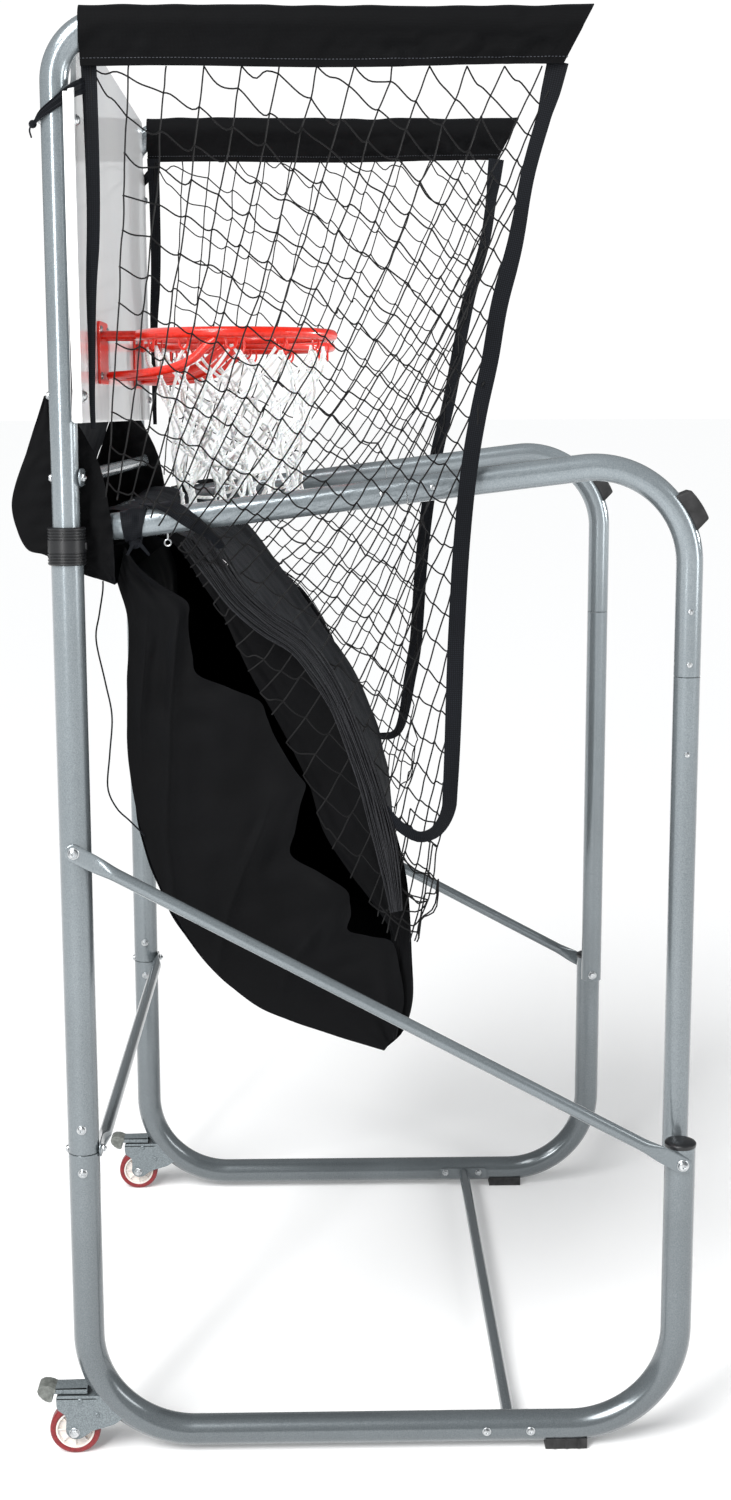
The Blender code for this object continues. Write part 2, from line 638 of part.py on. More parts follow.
def hanging_cord():
    shape = bpy.data.curves.new("hanging_cord", "CURVE")
    shape.dimensions = "3D"
    points = smooth_curve(CORD_ROUTE, 60)
    spline = shape.splines.new("POLY")
    spline.points.add(len(points) - 1)
    for spot, point in zip(spline.points, points):
        spot.co = (*point, 1)
    shape.bevel_depth = 0.0012
    shape.bevel_resolution = 2
    shape.use_fill_caps = True
    shape.materials.append(WEBBING)
    made = bpy.data.objects.new("hanging_cord", shape)
    bpy.context.scene.collection.objects.link(made)


# --- the whole machine --------------------------------------------------------
for old in list(bpy.data.objects):
    bpy.data.objects.remove(old)

PAINT = material("silver_grey_paint", (0.28, 0.32, 0.34), 0.42, 0.35)
ZINC = material("zinc_plate", (0.62, 0.63, 0.64), 0.28, 1.0)
STEEL = material("grey_sheet_steel", (0.26, 0.29, 0.30), 0.45, 0.6)
BLACK_PLASTIC = material("black_plastic", (0.016, 0.016, 0.017), 0.45)
RUBBER = material("black_rubber", (0.014, 0.014, 0.015), 0.75)
TYRE = material("dark_red_tyre", (0.19, 0.012, 0.014), 0.45)
HUB = material("off_white_nylon", (0.66, 0.63, 0.58), 0.45)
PEDAL = material("grey_pedal_plastic", (0.22, 0.23, 0.22), 0.55)
BOARD = material("glossy_white_board", (0.62, 0.63, 0.64), 0.12)
RIM_PAINT = material("orange_red_enamel", (0.77, 0.05, 0.025), 0.3)
NET_WHITE = material("white_braid", (0.80, 0.80, 0.79), 0.85)
FABRIC = material("black_woven_fabric", (0.015, 0.015, 0.017), 0.85)
WEBBING = material("black_webbing", (0.020, 0.022, 0.026), 0.8)
NETTING = material("black_netting", (0.010, 0.010, 0.011), 0.85)

for name, sign in (("left", -1), ("right", 1)):
    floor_frame(name, sign * SIDE_X)
    rear_post(name, sign * SIDE_X)
    upper_post(name, sign * SIDE_X)
    side_brace(name, sign)
    foot(name, sign * SIDE_X)
    caster(name, sign * SIDE_X)
    folding_side(name, sign)
    rim(name, sign)
    sleeve(name, sign * SIDE_X)
    side_net(name, sign)
cross_tubes()
crossbar()
backboard()
ramp()
hanging_cord()
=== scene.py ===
import math

import bmesh
import bpy
import numpy as np
from mathutils import Matrix, Vector


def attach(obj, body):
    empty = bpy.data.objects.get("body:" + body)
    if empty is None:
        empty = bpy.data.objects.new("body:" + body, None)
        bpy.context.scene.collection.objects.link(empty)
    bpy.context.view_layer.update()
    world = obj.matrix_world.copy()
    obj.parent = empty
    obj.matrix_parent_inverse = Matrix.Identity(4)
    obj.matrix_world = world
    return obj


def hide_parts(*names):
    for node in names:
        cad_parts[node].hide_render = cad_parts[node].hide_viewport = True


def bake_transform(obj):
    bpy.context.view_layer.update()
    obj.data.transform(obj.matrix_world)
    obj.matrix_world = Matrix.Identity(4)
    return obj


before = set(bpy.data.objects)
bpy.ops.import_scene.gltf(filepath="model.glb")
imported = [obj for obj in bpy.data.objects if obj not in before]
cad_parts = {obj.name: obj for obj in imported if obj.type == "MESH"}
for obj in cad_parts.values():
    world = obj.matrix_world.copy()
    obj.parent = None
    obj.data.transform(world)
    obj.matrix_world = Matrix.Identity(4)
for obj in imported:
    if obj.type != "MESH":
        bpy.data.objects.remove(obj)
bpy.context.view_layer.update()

# Folding two-hoop basketball machine. Metres; the player stands at -Y, +Z is up and
# the left side, nearest the camera, is -X.

# --- sizes shared with the CAD ------------------------------------------------
SIDE_X = 0.505            # main frame tubes, from the middle plane
ARM_X = 0.462             # folding frame tubes
REAR_Y, FRONT_Y = 0.4055, -0.4645
LOWER_R, UPPER_R, STRUT_R = 0.0225, 0.019, 0.0095
BASE_Z, CORNER_R = 0.0305, 0.155
SEAM_Z, FRONT_TOP_Z, PIVOT_Z = 0.4694, 0.47, 0.447
COLLAR_Z = (1.32, 1.372)
TOP_ARM_Z, TOP_BEND_R, TOP_ARM_END_Y = 2.0345, 0.077, -0.255
LEG_SEAM_Z, ELBOW_R, ELBOW_TOP_Z = 1.1546, 0.137, 1.45
ARM_SLOPE, ARM_SEAM_Y = math.radians(6.9), -0.0637
CROSSBAR_Y, CROSSBAR_CORNER_R = 0.369, 0.06
BRACE_REAR_Z = 0.9175
SEAM_GAP = 0.0004         # either side of a seam between two tubes
FOOT_Y, WHEEL_Y, WHEEL_R = -0.302, 0.429, 0.0375
BASE_CROSS_Y, UPPER_CROSS_Z = -0.219, 1.439
BOARD_Z, BOARD_Y, BOARD_HALF = (1.513, 2.045), (0.3775, 0.3857), 0.527
BOARD_TOP_HALF, BOARD_SHOULDER_Z = 0.484, (1.946, 1.964)
RIM_X, RIM_Y, RIM_Z, RIM_RING_R, RIM_ROD_R = 0.27, 0.18, 1.638, 0.1425, 0.0078
RAMP_HALF = 0.44
SIDES = (("left", -1), ("right", 1))
PAINT, ZINC, SHEET_STEEL = "silver_grey_paint", "zinc_plate", "grey_sheet_steel"
PLASTIC, RUBBER, ENAMEL = "black_plastic", "black_rubber", "orange_red_enamel"
FABRIC, WEBBING = "black_woven_fabric", "black_webbing"


# --- camera -------------------------------------------------------------------
def aim(location, forward, roll):
    """A camera that looks along forward, turned by roll degrees about that line."""
    lens = bpy.data.cameras.new("camera")
    lens.sensor_width, lens.lens = 36.0, 46.93
    camera = bpy.data.objects.new("camera", lens)
    bpy.context.scene.collection.objects.link(camera)
    turn = Vector(forward).to_track_quat("-Z", "Y").to_matrix().to_4x4()
    turned = turn @ Matrix.Rotation(math.radians(roll), 4, "Z")
    camera.matrix_world = Matrix.Translation(location) @ turned
    bpy.context.scene.camera = camera


aim((-3.216, 0.0503, 1.5269), (0.98517, -0.02019, -0.17034), -0.147)


# --- surface tools ------------------------------------------------------------
def unit(rows):
    """Each row divided by its length."""
    return rows / np.maximum(np.linalg.norm(rows, axis=-1, keepdims=True), 1e-12)


def smooth(points, count):
    """Points evenly spaced by length on the Catmull-Rom curve through the given ones."""
    points = np.array(points, float)
    ends = np.vstack([2 * points[0] - points[1], points, 2 * points[-1] - points[-2]])
    a, b, c, d = (ends[k:len(points) - 1 + k, None] for k in range(4))
    t = np.linspace(0, 1, 16, endpoint=False)[None, :, None]
    dense = 0.5 * (2 * b + (c - a) * t + (2 * a - 5 * b + 4 * c - d) * t**2
                   + (3 * b - a - 3 * c + d) * t**3)
    dense = np.vstack([dense.reshape(-1, points.shape[1]), points[-1:]])
    return spaced(dense, count)


def running(points):
    """The length run along a polyline at each of its points."""
    return np.r_[0, np.cumsum(np.linalg.norm(np.diff(points, axis=0), axis=1))]


def spaced(points, count):
    """Points evenly spaced by length along a polyline."""
    points = np.array(points, float)
    run = running(points)
    even = np.linspace(0, run[-1], count)
    return np.stack([np.interp(even, run, points[:, i]) for i in range(points.shape[1])], 1)


def bent(corners, step=0.05):
    """A polyline with each inner corner (point, radius) rounded by a circular arc:
    centre + (sin((1 - t) s) start + sin(t s) finish) / sin(s) for a sweep s."""
    points = [np.array(corners[0][0], float)[None]]
    for before, (corner, radius), after in zip(corners, corners[1:], corners[2:]):
        corner = np.array(corner, float)
        back = unit(np.array(before[0], float) - corner)
        ahead = unit(np.array(after[0], float) - corner)
        half = math.acos(np.clip(back @ ahead, -1, 1)) / 2
        centre = corner + unit(back + ahead) * radius / math.sin(half)
        start = corner + back * radius / math.tan(half) - centre
        finish = corner + ahead * radius / math.tan(half) - centre
        sweep = math.pi - 2 * half
        t = np.linspace(0, 1, max(3, math.ceil(sweep / step)) + 1)[:, None]
        mix = np.sin((1 - t) * sweep) * start + np.sin(t * sweep) * finish
        points.append(centre + mix / math.sin(sweep))
    points.append(np.array(corners[-1][0], float)[None])
    return np.vstack(points)


def directions(path, reference):
    """Tangent, side and rise at each point of a path: side is the reference made square
    to the tangent, rise is tangent x side."""
    path = np.asarray(path, float)
    tangent = unit(np.gradient(path, axis=0))
    side = np.broadcast_to(np.asarray(reference, float), path.shape)
    side = unit(side - (side * tangent).sum(1, keepdims=True) * tangent)
    return tangent, side, np.cross(tangent, side)


def carried(path, rings, reference):
    """A profile carried along a path: point + a * side + b * rise for ring (a, b)."""
    _, side, rise = directions(path, reference)
    rings = np.broadcast_to(np.asarray(rings, float), (len(path),) + np.shape(rings)[-2:])
    return (np.asarray(path)[:, None] + rings[..., :1] * side[:, None]
            + rings[..., 1:] * rise[:, None])


def circle(count):
    """Unit circle points (cos a, sin a)."""
    turn = np.arange(count) * 2 * math.pi / count
    return np.stack([np.cos(turn), np.sin(turn)], 1)


def grid(points, ring=False, loop=False, ends=False, uv=None):
    """Vertices, faces and UVs of a grid of points (n, m). ring joins the last column to
    the first, loop the last row to the first, ends closes both end rows at their middles."""
    points = np.asarray(points, float)
    if ends:
        caps = points[[0, -1]].mean(axis=1, keepdims=True)
        first, last = (np.repeat(cap[None], points.shape[1], 1) for cap in caps)
        points = np.concatenate([first, points, last])
    n, m = points.shape[:2]
    if uv is None:
        uv = np.stack(np.meshgrid(np.linspace(0, 1, m), np.linspace(0, 1, n)), -1)
    elif ends:
        uv = np.concatenate([uv[:1], uv, uv[-1:]])
    index = np.arange(n * m).reshape(n, m)
    if ring:
        index = np.concatenate([index, index[:, :1]], 1)
    if loop:
        index = np.concatenate([index, index[:1]])
    faces = np.stack([index[:-1, :-1], index[:-1, 1:], index[1:, 1:], index[1:, :-1]], -1)
    return points.reshape(-1, 3), faces.reshape(-1, 4), np.asarray(uv).reshape(-1, 2)


TUBE_EASE = 0.0006        # how far a tube's cut ends are rounded off


def tube(path, radius, reference=(1, 0, 0), sides=32):
    """A round tube of one radius, or of one radius per point, with slightly eased ends."""
    path = np.asarray(path, float)
    radius = np.broadcast_to(np.asarray(radius, float), len(path))
    start = path[0] + unit(path[1] - path[0]) * TUBE_EASE
    stop = path[-1] + unit(path[-2] - path[-1]) * TUBE_EASE
    path = np.vstack([path[:1], start, path[1:-1], stop, path[-1:]])
    radius = np.r_[radius[0] - TUBE_EASE, radius[0], radius[1:-1], radius[-1],
                   radius[-1] - TUBE_EASE]
    rings = circle(sides)[None] * radius[:, None, None]
    return grid(carried(path, rings, reference), ring=True, ends=True)


def lathe(profile, centre, axis, sides=40):
    """Profile points (radius, distance along axis) turned about an axis. A profile that
    starts and ends on radius 0 is closed by its own poles."""
    profile = np.array(profile, float)
    axis = unit(np.array(axis, float))
    side = unit(np.cross(axis, (0, 0, 1.0) if abs(axis[2]) < 0.5 else (0, 1.0, 0)))
    rise = np.cross(axis, side)
    spin = circle(sides)
    out = spin[:, :1] * side + spin[:, 1:] * rise
    points = (np.array(centre) + profile[None, :, :1] * out[:, None]
              + profile[None, :, 1:] * axis)
    whole = profile[0, 0] > 1e-9 or profile[-1, 0] > 1e-9
    return grid(points, ring=whole, loop=True)


def prism(outline, low, high, across="x", corner=0.0):
    """An outline pushed straight from low to high, closed by fans at both faces."""
    outline = np.array(outline, float)
    if corner:
        outline = eased(outline, corner)
    levels = np.array([low, high], float)
    flat = np.broadcast_to(outline, (2,) + outline.shape)
    depth = np.broadcast_to(levels[:, None], flat.shape[:2])
    place = [flat[..., 0], flat[..., 1]]
    place.insert("xyz".index(across), depth)
    return grid(np.stack(place, -1), ring=True, ends=True)


def rectangle(low_a, low_b, high_a, high_b):
    """The outline of an upright rectangle."""
    return [(low_a, low_b), (high_a, low_b), (high_a, high_b), (low_a, high_b)]


def eased(outline, radius, steps=5):
    """A closed outline with each corner rounded by a quadratic curve that starts one
    radius before the corner and ends one radius after it."""
    before, after = np.roll(outline, 1, 0), np.roll(outline, -1, 0)
    reach = np.minimum(radius, 0.45 * np.linalg.norm(before - outline, axis=1))[:, None]
    ahead = np.minimum(radius, 0.45 * np.linalg.norm(after - outline, axis=1))[:, None]
    start = outline + unit(before - outline) * reach
    stop = outline + unit(after - outline) * ahead
    t = np.linspace(0, 1, steps)[None, :, None]
    curve = ((1 - t) ** 2 * start[:, None] + 2 * t * (1 - t) * outline[:, None]
             + t**2 * stop[:, None])
    return curve.reshape(-1, 2)


def normals(points):
    """Unit normals of a grid of points: row direction x column direction."""
    return unit(np.cross(np.gradient(points, axis=0), np.gradient(points, axis=1)))


def metres_uv(points):
    """UVs in metres: the running length along the middle row and the middle column."""
    along = running(points[:, points.shape[1] // 2])
    across = running(points[points.shape[0] // 2])
    return np.stack(np.meshgrid(across, along), -1)


def cloth(points, thickness):
    """A sheet as a closed shell: the grid moved half a thickness each way along its
    normals, the two sides joined round the edge."""
    shift = normals(points) * thickness / 2
    uv = metres_uv(points)
    both = np.concatenate([points + shift, (points - shift)[:, ::-1]], 1)
    sides = np.concatenate([uv, uv[:, ::-1]], 1)
    verts, faces, uvs = grid(both, ring=True, uv=sides)
    n, m = both.shape[:2]
    half = m // 2
    index = np.arange(n * m).reshape(n, m)
    lids = []
    for row in index[[0, -1]]:
        near, far = row[:half], row[half:][::-1]
        lids.append(np.stack([near[:-1], near[1:], far[1:], far[:-1]], -1))
    return verts, np.vstack([faces, *lids]), uvs


def ripple(points, size, seed, waves=9):
    """Smooth noise of about unit height: a sum of sine waves in seeded directions whose
    wavelengths spread round size."""
    draw = np.random.default_rng(seed)
    heading = unit(draw.normal(size=(waves, 3)))
    pitch = 2 * math.pi / (size * draw.uniform(0.6, 1.7, waves))
    phase = draw.uniform(0, 2 * math.pi, waves)
    turns = np.asarray(points) @ (heading * pitch[:, None]).T + phase
    return np.sin(turns).sum(-1) / math.sqrt(waves)


def merged(shapes):
    """Several (vertices, faces, UVs) as one."""
    counts = np.cumsum([0] + [len(s[0]) for s in shapes[:-1]])
    return (np.vstack([s[0] for s in shapes]),
            np.vstack([s[1] + c for s, c in zip(shapes, counts)]),
            np.vstack([s[2] for s in shapes]))


def scattered(shape, spots):
    """Copies of a shape, one at each 4x4 matrix in spots."""
    verts, faces, uvs = shape
    spots = np.asarray(spots, float)
    copies = verts @ spots[:, :3, :3].transpose(0, 2, 1) + spots[:, None, :3, 3]
    steps = np.arange(len(spots))[:, None, None] * len(verts)
    return copies.reshape(-1, 3), (faces + steps).reshape(-1, 4), np.tile(uvs, (len(spots), 1))


def placed(spots):
    """One 4x4 matrix that only moves, for each spot."""
    places = np.tile(np.eye(4), (len(spots), 1, 1))
    places[:, :3, 3] = spots
    return places


def ribbon(path, wide, half, columns):
    """A band's grid along a path: point + w * wide, for w from -half to half."""
    s = np.linspace(-1, 1, columns)
    return path[:, None] + wide[:, None] * (s[None, :, None] * half[:, None, None])


def strands(paths, radius, sides):
    """Round cords along many paths at once (count, points, 3), with closed ends."""
    paths = np.asarray(paths, float)
    tangent = unit(np.gradient(paths, axis=1))
    guide = np.where(np.abs(tangent[:, :, :1]) < 0.8, (1.0, 0, 0), (0, 1.0, 0))
    side = unit(np.cross(tangent, guide))
    rise = np.cross(tangent, side)
    spin = circle(sides)
    points = (paths[:, :, None] + radius * (spin[:, :1] * side[:, :, None]
                                            + spin[:, 1:] * rise[:, :, None]))
    points = np.concatenate([np.repeat(paths[:, :1, None], sides, 2), points,
                             np.repeat(paths[:, -1:, None], sides, 2)], 1)
    count, n, m = points.shape[:3]
    index = np.arange(count * n * m).reshape(count, n, m)
    index = np.concatenate([index, index[:, :, :1]], 2)
    faces = np.stack([index[:, :-1, :-1], index[:, :-1, 1:], index[:, 1:, 1:],
                      index[:, 1:, :-1]], -1).reshape(-1, 4)
    run = np.linspace(0, 1, n)[None, :, None] * np.ones((count, 1, m))
    uv = np.stack([np.broadcast_to(np.linspace(0, 1, m), run.shape), run], -1)
    return points.reshape(-1, 3), faces, uv.reshape(-1, 2)


def piece(name, shapes, finish, body, nodes=(), bends=None, sharp=38, bevel=0.0):
    """One mesh object from shapes, with doubles merged and faces turned outwards. It
    rides on a body or, when bends is given, on no body with its placement baked into the
    mesh; it stands for the named CAD nodes, which it hides."""
    verts, faces, uvs = merged(shapes) if isinstance(shapes, list) else shapes
    mesh = bpy.data.meshes.new(name)
    mesh.from_pydata(verts.tolist(), [], faces.tolist())
    layer = mesh.uv_layers.new(name="UVMap")
    layer.uv.foreach_set("vector", uvs[faces.ravel()].ravel().astype(np.float32))
    shell = bmesh.new()
    shell.from_mesh(mesh)
    bmesh.ops.remove_doubles(shell, verts=shell.verts, dist=1e-6)
    bmesh.ops.dissolve_degenerate(shell, edges=shell.edges, dist=1e-7)
    bmesh.ops.recalc_face_normals(shell, faces=shell.faces)
    shell.to_mesh(mesh)
    shell.free()
    mesh.shade_smooth()
    mesh.set_sharp_from_angle(angle=math.radians(sharp))
    mesh.materials.append(FINISHES[finish])
    made = bpy.data.objects.new(name, mesh)
    bpy.context.scene.collection.objects.link(made)
    if bevel:
        ease = made.modifiers.new("eased_edges", "BEVEL")
        ease.width, ease.segments, ease.limit_method = bevel, 3, "ANGLE"
        ease.angle_limit = math.radians(40)
    if bends:
        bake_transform(made)
    else:
        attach(made, body)
    if nodes:
        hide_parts(*([nodes] if isinstance(nodes, str) else nodes))
    return made


# --- finishes -----------------------------------------------------------------
def shade(text):
    """An sRGB hex colour as linear RGBA."""
    parts = [int(text[i:i + 2], 16) / 255 for i in (1, 3, 5)]
    return tuple(c / 12.92 if c <= 0.04045 else ((c + 0.055) / 1.055) ** 2.4
                 for c in parts) + (1.0,)


def node(tree, kind, inputs=None, **settings):
    """Adds one node with its settings; inputs holds socket values or links."""
    made = tree.nodes.new("ShaderNode" + kind)
    for key, value in settings.items():
        setattr(made, key, value)
    for key, value in (inputs or {}).items():
        if isinstance(value, bpy.types.NodeSocket):
            tree.links.new(value, made.inputs[key])
        else:
            made.inputs[key].default_value = value
    return made


def finish(name, colour, roughness, **fixed):
    """A new material and its tree, Principled node and Object coordinates."""
    made = bpy.data.materials.new(name)
    made.use_nodes = True
    tree = made.node_tree
    shader = tree.nodes["Principled BSDF"]
    shader.inputs["Base Color"].default_value = shade(colour)
    shader.inputs["Roughness"].default_value = roughness
    for key, value in fixed.items():
        shader.inputs[key.replace("_", " ")].default_value = value
    place = node(tree, "TexCoord")
    FINISHES[name] = made
    return tree, shader, place


def ramp(tree, source, low, high, at=(0.35, 0.65)):
    """A two-colour ramp between hex colours, or between grey levels."""
    made = node(tree, "ValToRGB", {"Fac": source})
    for stop, spot, value in zip(made.color_ramp.elements, at, (low, high)):
        stop.position = spot
        stop.color = shade(value) if isinstance(value, str) else (value,) * 3 + (1,)
    return made.outputs["Color"]


def raised(tree, shader, height, strength, distance):
    """Bump from a height socket on the shader's normal."""
    bump = node(tree, "Bump", {"Height": height, "Strength": strength, "Distance": distance})
    tree.links.new(bump.outputs["Normal"], shader.inputs["Normal"])


FINISHES = {}


def noise(tree, place, scale, detail=2.0, rough=0.5):
    """Noise in object space."""
    return node(tree, "TexNoise", {"Vector": place.outputs["Object"], "Scale": scale,
                                   "Detail": detail, "Roughness": rough}).outputs["Fac"]


def ranged(tree, shader, source, low, high):
    """Roughness that follows a pattern, from low to high."""
    made = node(tree, "MapRange", {"Value": source, "To Min": low, "To Max": high})
    tree.links.new(made.outputs["Result"], shader.inputs["Roughness"])


def multiplied(tree, one, other):
    """Two colours multiplied."""
    return node(tree, "Mix", {6: one, 7: other, 0: 1.0}, data_type="RGBA",
                blend_type="MULTIPLY").outputs[2]


def speckled(name, colour, roughness, pattern, tint=None, rough=None, bump=None, **fixed):
    """A finish that follows one noise pattern, (scale, detail, roughness): tint is the
    colour ramp's two ends, rough the roughness range, bump its strength and depth."""
    tree, shader, place = finish(name, colour, roughness, **fixed)
    source = noise(tree, place, *pattern)
    if tint:
        tree.links.new(ramp(tree, source, *tint), shader.inputs["Base Color"])
    if rough:
        ranged(tree, shader, source, *rough)
    if bump:
        raised(tree, shader, source, *bump)


def powder_coat():
    """Powder coat with a fine hammered grain: a soft metallic grey with a broad highlight
    and flecks about 1.5 mm across. The lower tubes carry painted shade: their colour is
    darkened towards the floor."""
    tree, shader, place = finish(PAINT, "#8b9499", 0.22, Metallic=0.5, Coat_Weight=0.6,
                                 Coat_Roughness=0.1)
    fleck, cloud = noise(tree, place, 650.0), noise(tree, place, 7.0, 3.0)
    height = node(tree, "SeparateXYZ", {"Vector": place.outputs["Object"]})
    # Painted shade: the colour darkens with height, to half its value at z = 0.
    lower = node(tree, "MapRange", {"Value": height.outputs["Z"], "From Min": 0.0,
                                    "From Max": 1.3, "To Min": 0.5, "To Max": 1.0})
    painted_shade = node(tree, "CombineColor", {band: lower.outputs["Result"]
                                       for band in ("Red", "Green", "Blue")})
    grain = ramp(tree, fleck, "#7f888d", "#99a1a5", (0.3, 0.7))
    mixed = multiplied(tree, grain, ramp(tree, cloud, 0.93, 1.04))
    tree.links.new(multiplied(tree, mixed, painted_shade.outputs["Color"]), shader.inputs["Base Color"])
    ranged(tree, shader, fleck, 0.16, 0.3)
    raised(tree, shader, fleck, 0.07, 0.0004)


def make_finishes():
    """Every finish, by its material."""
    powder_coat()
    # Bright zinc plate on fasteners: a pale metal with faint cloudy patches.
    speckled(ZINC, "#c9ccce", 0.26, (140.0, 4.0), ("#a9adb0", "#d9dbdc"), (0.18, 0.4),
             Metallic=1.0)
    # Pressed sheet steel under the same grey paint, a shade flatter.
    speckled(SHEET_STEEL, "#828d92", 0.4, (500.0, 3.0), ("#666e72", "#848c8f"),
             bump=(0.2, 0.0005), Metallic=0.3)
    # Moulded ABS: near black, satin, with a very fine spark-eroded grain.
    speckled(PLASTIC, "#17181a", 0.36, (1100.0,), bump=(0.12, 0.0003), IOR=1.53)
    # Moulded rubber: matte black with dusty patches.
    speckled(RUBBER, "#161617", 0.72, (60.0, 5.0), ("#111112", "#2a2a2b"),
             bump=(0.15, 0.0006), IOR=1.52)
    # Cast polyurethane tread: deep red, slightly glossy, scuffed where it rolls.
    speckled("dark_red_tyre", "#7b1c20", 0.34, (220.0, 6.0, 0.7), ("#6a171b", "#8a2428"),
             (0.25, 0.55), IOR=1.5, Subsurface_Weight=0.05)
    # Moulded nylon hub: off-white, a little translucent, soft sheen.
    speckled("off_white_nylon", "#dcd5cf", 0.42, (300.0,), bump=(0.08, 0.0003), IOR=1.53,
             Subsurface_Weight=0.15, Subsurface_Radius=(0.004, 0.003, 0.002))
    # Moulded polypropylene pedal: warm grey, matte on its ribs.
    speckled("grey_pedal_plastic", "#7d8078", 0.5, (180.0, 4.0), ("#5b5e5a", "#767975"),
             IOR=1.49)
    # Moulded white edge of the board: bright, satin, faintly yellowed.
    speckled("board_edge", "#f2f3f3", 0.3, (30.0,), ("#eceded", "#f7f7f6"), IOR=1.5)
    # Sprayed enamel on the hoops: saturated orange-red under a wet gloss.
    speckled(ENAMEL, "#df2410", 0.28, (240.0,), ("#d01d0c", "#e42a14"),
             bump=(0.08, 0.0005), IOR=1.45, Coat_Weight=0.35, Coat_Roughness=0.08)
    # Knotted polyethylene twine: black, slightly waxy.
    speckled("black_netting", "#0a0a0b", 0.65, (900.0,), ("#060607", "#101011"), IOR=1.5,
             Specular_IOR_Level=0.2)
    # The same twine where it is bunched, painted lighter: a painted highlight for the light its
    # crowns catch.
    speckled("bunched_twine_painted_highlight", "#121214", 0.6, (700.0,), ("#0c0c0e", "#26272b"), IOR=1.5,
             Specular_IOR_Level=0.3)
    # Bonded polyester sewing thread: dark grey, with a slight shine.
    speckled("sewing_thread", "#33363c", 0.45, (1200.0,), ("#24262b", "#454950"), IOR=1.5)

    # Glossy laminated board: pale grey-white, mirror-smooth with a faint orange peel.
    tree, shader, place = finish("glossy_white_board", "#eff0f1", 0.1, IOR=1.5,
                                 Coat_Weight=0.35, Coat_Roughness=0.04)
    tree.links.new(ramp(tree, noise(tree, place, 3.0), "#ebecee", "#f3f4f4"),
                   shader.inputs["Base Color"])
    raised(tree, shader, noise(tree, place, 45.0), 0.03, 0.0008)

    # Braided polyester net cord: soft white, plait ridges about 3 mm apart, with painted
    # shade darkening the grooves between them.
    tree, shader, place = finish("white_braid", "#eef0ef", 0.85, Sheen_Weight=0.3,
                                 Subsurface_Weight=0.1)
    plait = node(tree, "TexWave", {"Vector": place.outputs["Object"], "Scale": 90.0,
                                   "Distortion": 3.0, "Detail": 2.0},
                 bands_direction="DIAGONAL").outputs["Fac"]
    # Painted shade: the plait's grooves take the darker colour.
    tree.links.new(ramp(tree, plait, "#dadddd", "#f6f7f6", (0.1, 0.6)),
                   shader.inputs["Base Color"])
    raised(tree, shader, plait, 0.5, 0.0008)

    # Coated polyester cloth: plain weave, threads about 0.9 mm so that they show.
    woven(FABRIC, "#070708", "#111214", 0.0009, 0.72, 0.08)
    # Nylon webbing: heavier ribs across the band, a cooler black.
    woven(WEBBING, "#0c0d10", "#1e2126", 0.0014, 0.62, 0.14)


def woven(name, painted_shade_valley, crown, thread, roughness, sheen):
    """Cloth whose warp and weft are two crossed wave patterns on the UVs, one thread
    apart, with broad tonal drift from wear and a faint cool sheen. Painted shade darkens
    the valleys between threads; the crowns take the lighter colour."""
    tree, shader, place = finish(name, crown, roughness, Sheen_Weight=sheen,
                                 Sheen_Roughness=0.45, Sheen_Tint=shade("#8d95a3"), IOR=1.5,
                                 Specular_IOR_Level=0.09)
    warp, weft = (node(tree, "TexWave", {"Vector": place.outputs["UV"],
                                         "Scale": 0.5 / thread / math.pi, "Distortion": 0.6,
                                         "Detail": 1.0}, bands_direction=way)
                  for way in "XY")
    weave = node(tree, "Math", {0: warp.outputs["Fac"], 1: weft.outputs["Fac"]},
                 operation="MULTIPLY").outputs["Value"]
    drift = noise(tree, place, 9.0, 4.0)
    # Painted shade: the weave's valleys take the darker colour.
    mixed = multiplied(tree, ramp(tree, weave, painted_shade_valley, crown, (0.0, 1.0)),
                       ramp(tree, drift, 0.8, 1.15))
    tree.links.new(mixed, shader.inputs["Base Color"])
    ranged(tree, shader, drift, roughness - 0.08, roughness + 0.12)
    raised(tree, shader, weave, 0.35, 0.0005)


make_finishes()

# --- the hanging cord ---------------------------------------------------------
CORD_ROUTE = [(-0.4455, 0.364, 1.2925), (-0.447, 0.3645, 1.278), (-0.449, 0.37, 1.245),
              (-0.45, 0.3752, 1.2093), (-0.45, 0.364, 1.15), (-0.45, 0.3555, 1.1001),
              (-0.45, 0.36, 1.045), (-0.45, 0.364, 0.996), (-0.45, 0.352, 0.966),
              (-0.45, 0.3348, 0.9484), (-0.45, 0.32, 0.933), (-0.448, 0.313, 0.925)]


def hanging_cord():
    """A thin round tie sewn into the pouch at its top and into the trough at its foot."""
    points = smooth(CORD_ROUTE, 60)
    shape = bpy.data.curves.new("hanging_tie", "CURVE")
    shape.dimensions = "3D"
    spline = shape.splines.new("POLY")
    spline.points.add(len(points) - 1)
    spline.points.foreach_set("co", np.c_[points, np.ones(len(points))].ravel())
    shape.bevel_depth, shape.bevel_resolution = 0.0012, 3
    shape.use_fill_caps = True
    shape.materials.append(FINISHES[WEBBING])
    made = bpy.data.objects.new("hanging_tie", shape)
    bpy.context.scene.collection.objects.link(made)
    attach(made, "frame")
    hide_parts("hanging_cord")


hanging_cord()


# --- fasteners ----------------------------------------------------------------
def hexagon(centre, axis, across, height):
    """A six-sided nut or head: a hexagon whose corners are eased at both faces."""
    radius = across / math.sqrt(3)
    profile = [(0, 0), (radius * 0.93, 0), (radius, height * 0.12), (radius, height * 0.85),
               (radius * 0.9, height), (0, height)]
    return lathe(profile, centre, axis, 6)


